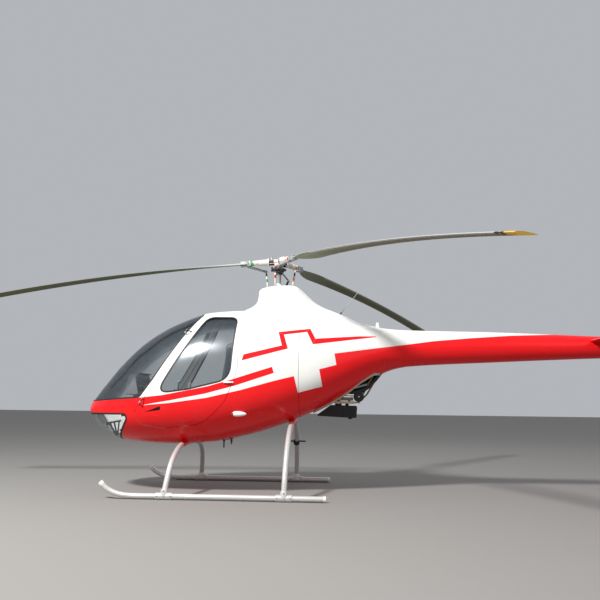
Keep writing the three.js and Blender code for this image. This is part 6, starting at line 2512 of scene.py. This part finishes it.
def add_softbox(name, place, target, size, power):
    data = bpy.data.lights.new(name, "AREA")
    data.shape = "DISK"
    data.size = size
    data.energy = power
    lamp = bpy.data.objects.new(name, data)
    lamp.location = place
    lamp.rotation_euler = (Vector(target) - Vector(place)).to_track_quat("-Z", "Y").to_euler()
    bpy.context.scene.collection.objects.link(lamp)


CAMERA_PLACE = (0.6918, -7.2856, 0.8509)
CAMERA_YAW = math.radians(-3.68)
CAMERA_PITCH = math.radians(8.27)
CAMERA_ROLL = math.radians(0.68)


def add_camera(lens):
    data = bpy.data.cameras.new("photo_camera")
    data.sensor_width = 36
    data.lens = lens
    camera = bpy.data.objects.new("photo_camera", data)
    forward = Vector((
        math.sin(CAMERA_YAW) * math.cos(CAMERA_PITCH),
        math.cos(CAMERA_YAW) * math.cos(CAMERA_PITCH),
        math.sin(CAMERA_PITCH),
    ))
    level = Vector((math.cos(CAMERA_YAW), -math.sin(CAMERA_YAW), 0))
    upright = level.cross(forward)
    right = level * math.cos(CAMERA_ROLL) + upright * math.sin(CAMERA_ROLL)
    up = right.cross(forward)
    camera.matrix_world = Matrix.Translation(from_mast(*CAMERA_PLACE)) @ Matrix(
        (right, up, -forward)
    ).transposed().to_4x4()
    bpy.context.scene.collection.objects.link(camera)
    bpy.context.scene.camera = camera


class HelicopterOperator:
    """What the operators share: each runs its makers and reports that it is done."""

    bl_options = {"REGISTER"}
    makers = ()

    def execute(self, context):
        for maker in self.makers:
            maker()
        return {"FINISHED"}


class HELI_OT_cabin_shell(HelicopterOperator, bpy.types.Operator):
    """Model the cabin shell with its openings"""

    bl_idname = "helicopter.cabin_shell"
    bl_label = "Cabin Shell"
    makers = (make_cabin_shell,)


class HELI_OT_glazing(HelicopterOperator, bpy.types.Operator):
    """Model the windscreen and chin windows"""

    bl_idname = "helicopter.glazing"
    bl_label = "Glazing"
    makers = (make_glazing,)


class HELI_OT_doors(HelicopterOperator, bpy.types.Operator):
    """Model both doors"""

    bl_idname = "helicopter.doors"
    bl_label = "Doors"
    makers = (lambda: [make_door(word, side) for word, side in SIDES.items()],)


class HELI_OT_cowls(HelicopterOperator, bpy.types.Operator):
    """Model the engine cowl and the mast fairing"""

    bl_idname = "helicopter.cowls"
    bl_label = "Cowl and Mast Fairing"
    makers = (make_engine_cowl, make_mast_fairing)


class HELI_OT_tail(HelicopterOperator, bpy.types.Operator):
    """Model the boom, the fin with its duct, the fan and the stabiliser"""

    bl_idname = "helicopter.tail"
    bl_label = "Tail"
    makers = (make_tail_boom, make_tail_fin, make_tail_fan)


class HELI_OT_main_rotor(HelicopterOperator, bpy.types.Operator):
    """Model the blades and the rotor head"""

    bl_idname = "helicopter.main_rotor"
    bl_label = "Main Rotor"
    makers = (
        lambda: [make_blade(i + 1, degrees) for i, degrees in enumerate(BLADE_DIRECTIONS)],
        make_rotor_head,
    )


class HELI_OT_landing_gear(HelicopterOperator, bpy.types.Operator):
    """Model the skids and cross tubes"""

    bl_idname = "helicopter.landing_gear"
    bl_label = "Landing Gear"
    makers = (make_landing_gear,)


class HELI_OT_engine(HelicopterOperator, bpy.types.Operator):
    """Model the engine bay"""

    bl_idname = "helicopter.engine"
    bl_label = "Engine Bay"
    makers = (make_engine,)


class HELI_OT_cabin(HelicopterOperator, bpy.types.Operator):
    """Model what is in the cabin"""

    bl_idname = "helicopter.cabin"
    bl_label = "Cabin"
    makers = (make_cabin,)


class HELI_OT_fittings(HelicopterOperator, bpy.types.Operator):
    """Model lamps and antennas"""

    bl_idname = "helicopter.fittings"
    bl_label = "Lamps and Antennas"
    makers = (make_fittings,)


class HELI_OT_stage(HelicopterOperator, bpy.types.Operator):
    """Set up floor, light and camera"""

    bl_idname = "helicopter.stage"
    bl_label = "Stage"
    makers = (make_stage,)


PIECE_OPERATORS = (
    HELI_OT_stage,
    HELI_OT_cabin_shell,
    HELI_OT_glazing,
    HELI_OT_doors,
    HELI_OT_cowls,
    HELI_OT_tail,
    HELI_OT_main_rotor,
    HELI_OT_landing_gear,
    HELI_OT_engine,
    HELI_OT_cabin,
    HELI_OT_fittings,
)


class HELI_PT_panel(bpy.types.Panel):
    """Sidebar panel with the settings and one button for each group"""

    bl_idname = "HELI_PT_panel"
    bl_label = "Helicopter"
    bl_space_type = "VIEW_3D"
    bl_region_type = "UI"
    bl_category = "Helicopter"

    def draw(self, context):
        scene = context.scene
        for group in (scene.helicopter_paint, scene.helicopter_shape, scene.helicopter_stage):
            box = self.layout.box()
            for name in group.__annotations__:
                box.prop(group, name)
        for operator in PIECE_OPERATORS:
            self.layout.operator(operator.bl_idname)


SETTINGS = {
    "helicopter_paint": PaintSettings,
    "helicopter_shape": ShapeSettings,
    "helicopter_stage": StageSettings,
}
CLASSES = (*SETTINGS.values(), *PIECE_OPERATORS, HELI_PT_panel)


def register():
    for item in CLASSES:
        bpy.utils.register_class(item)
    for name, group in SETTINGS.items():
        setattr(bpy.types.Scene, name, PointerProperty(type=group))


def unregister():
    for name in SETTINGS:
        delattr(bpy.types.Scene, name)
    for item in reversed(CLASSES):
        bpy.utils.unregister_class(item)


def main():
    register()
    for operator in PIECE_OPERATORS:
        group, name = operator.bl_idname.split(".")
        getattr(getattr(bpy.ops, group), name)()


if __name__ == "__main__":
    main()
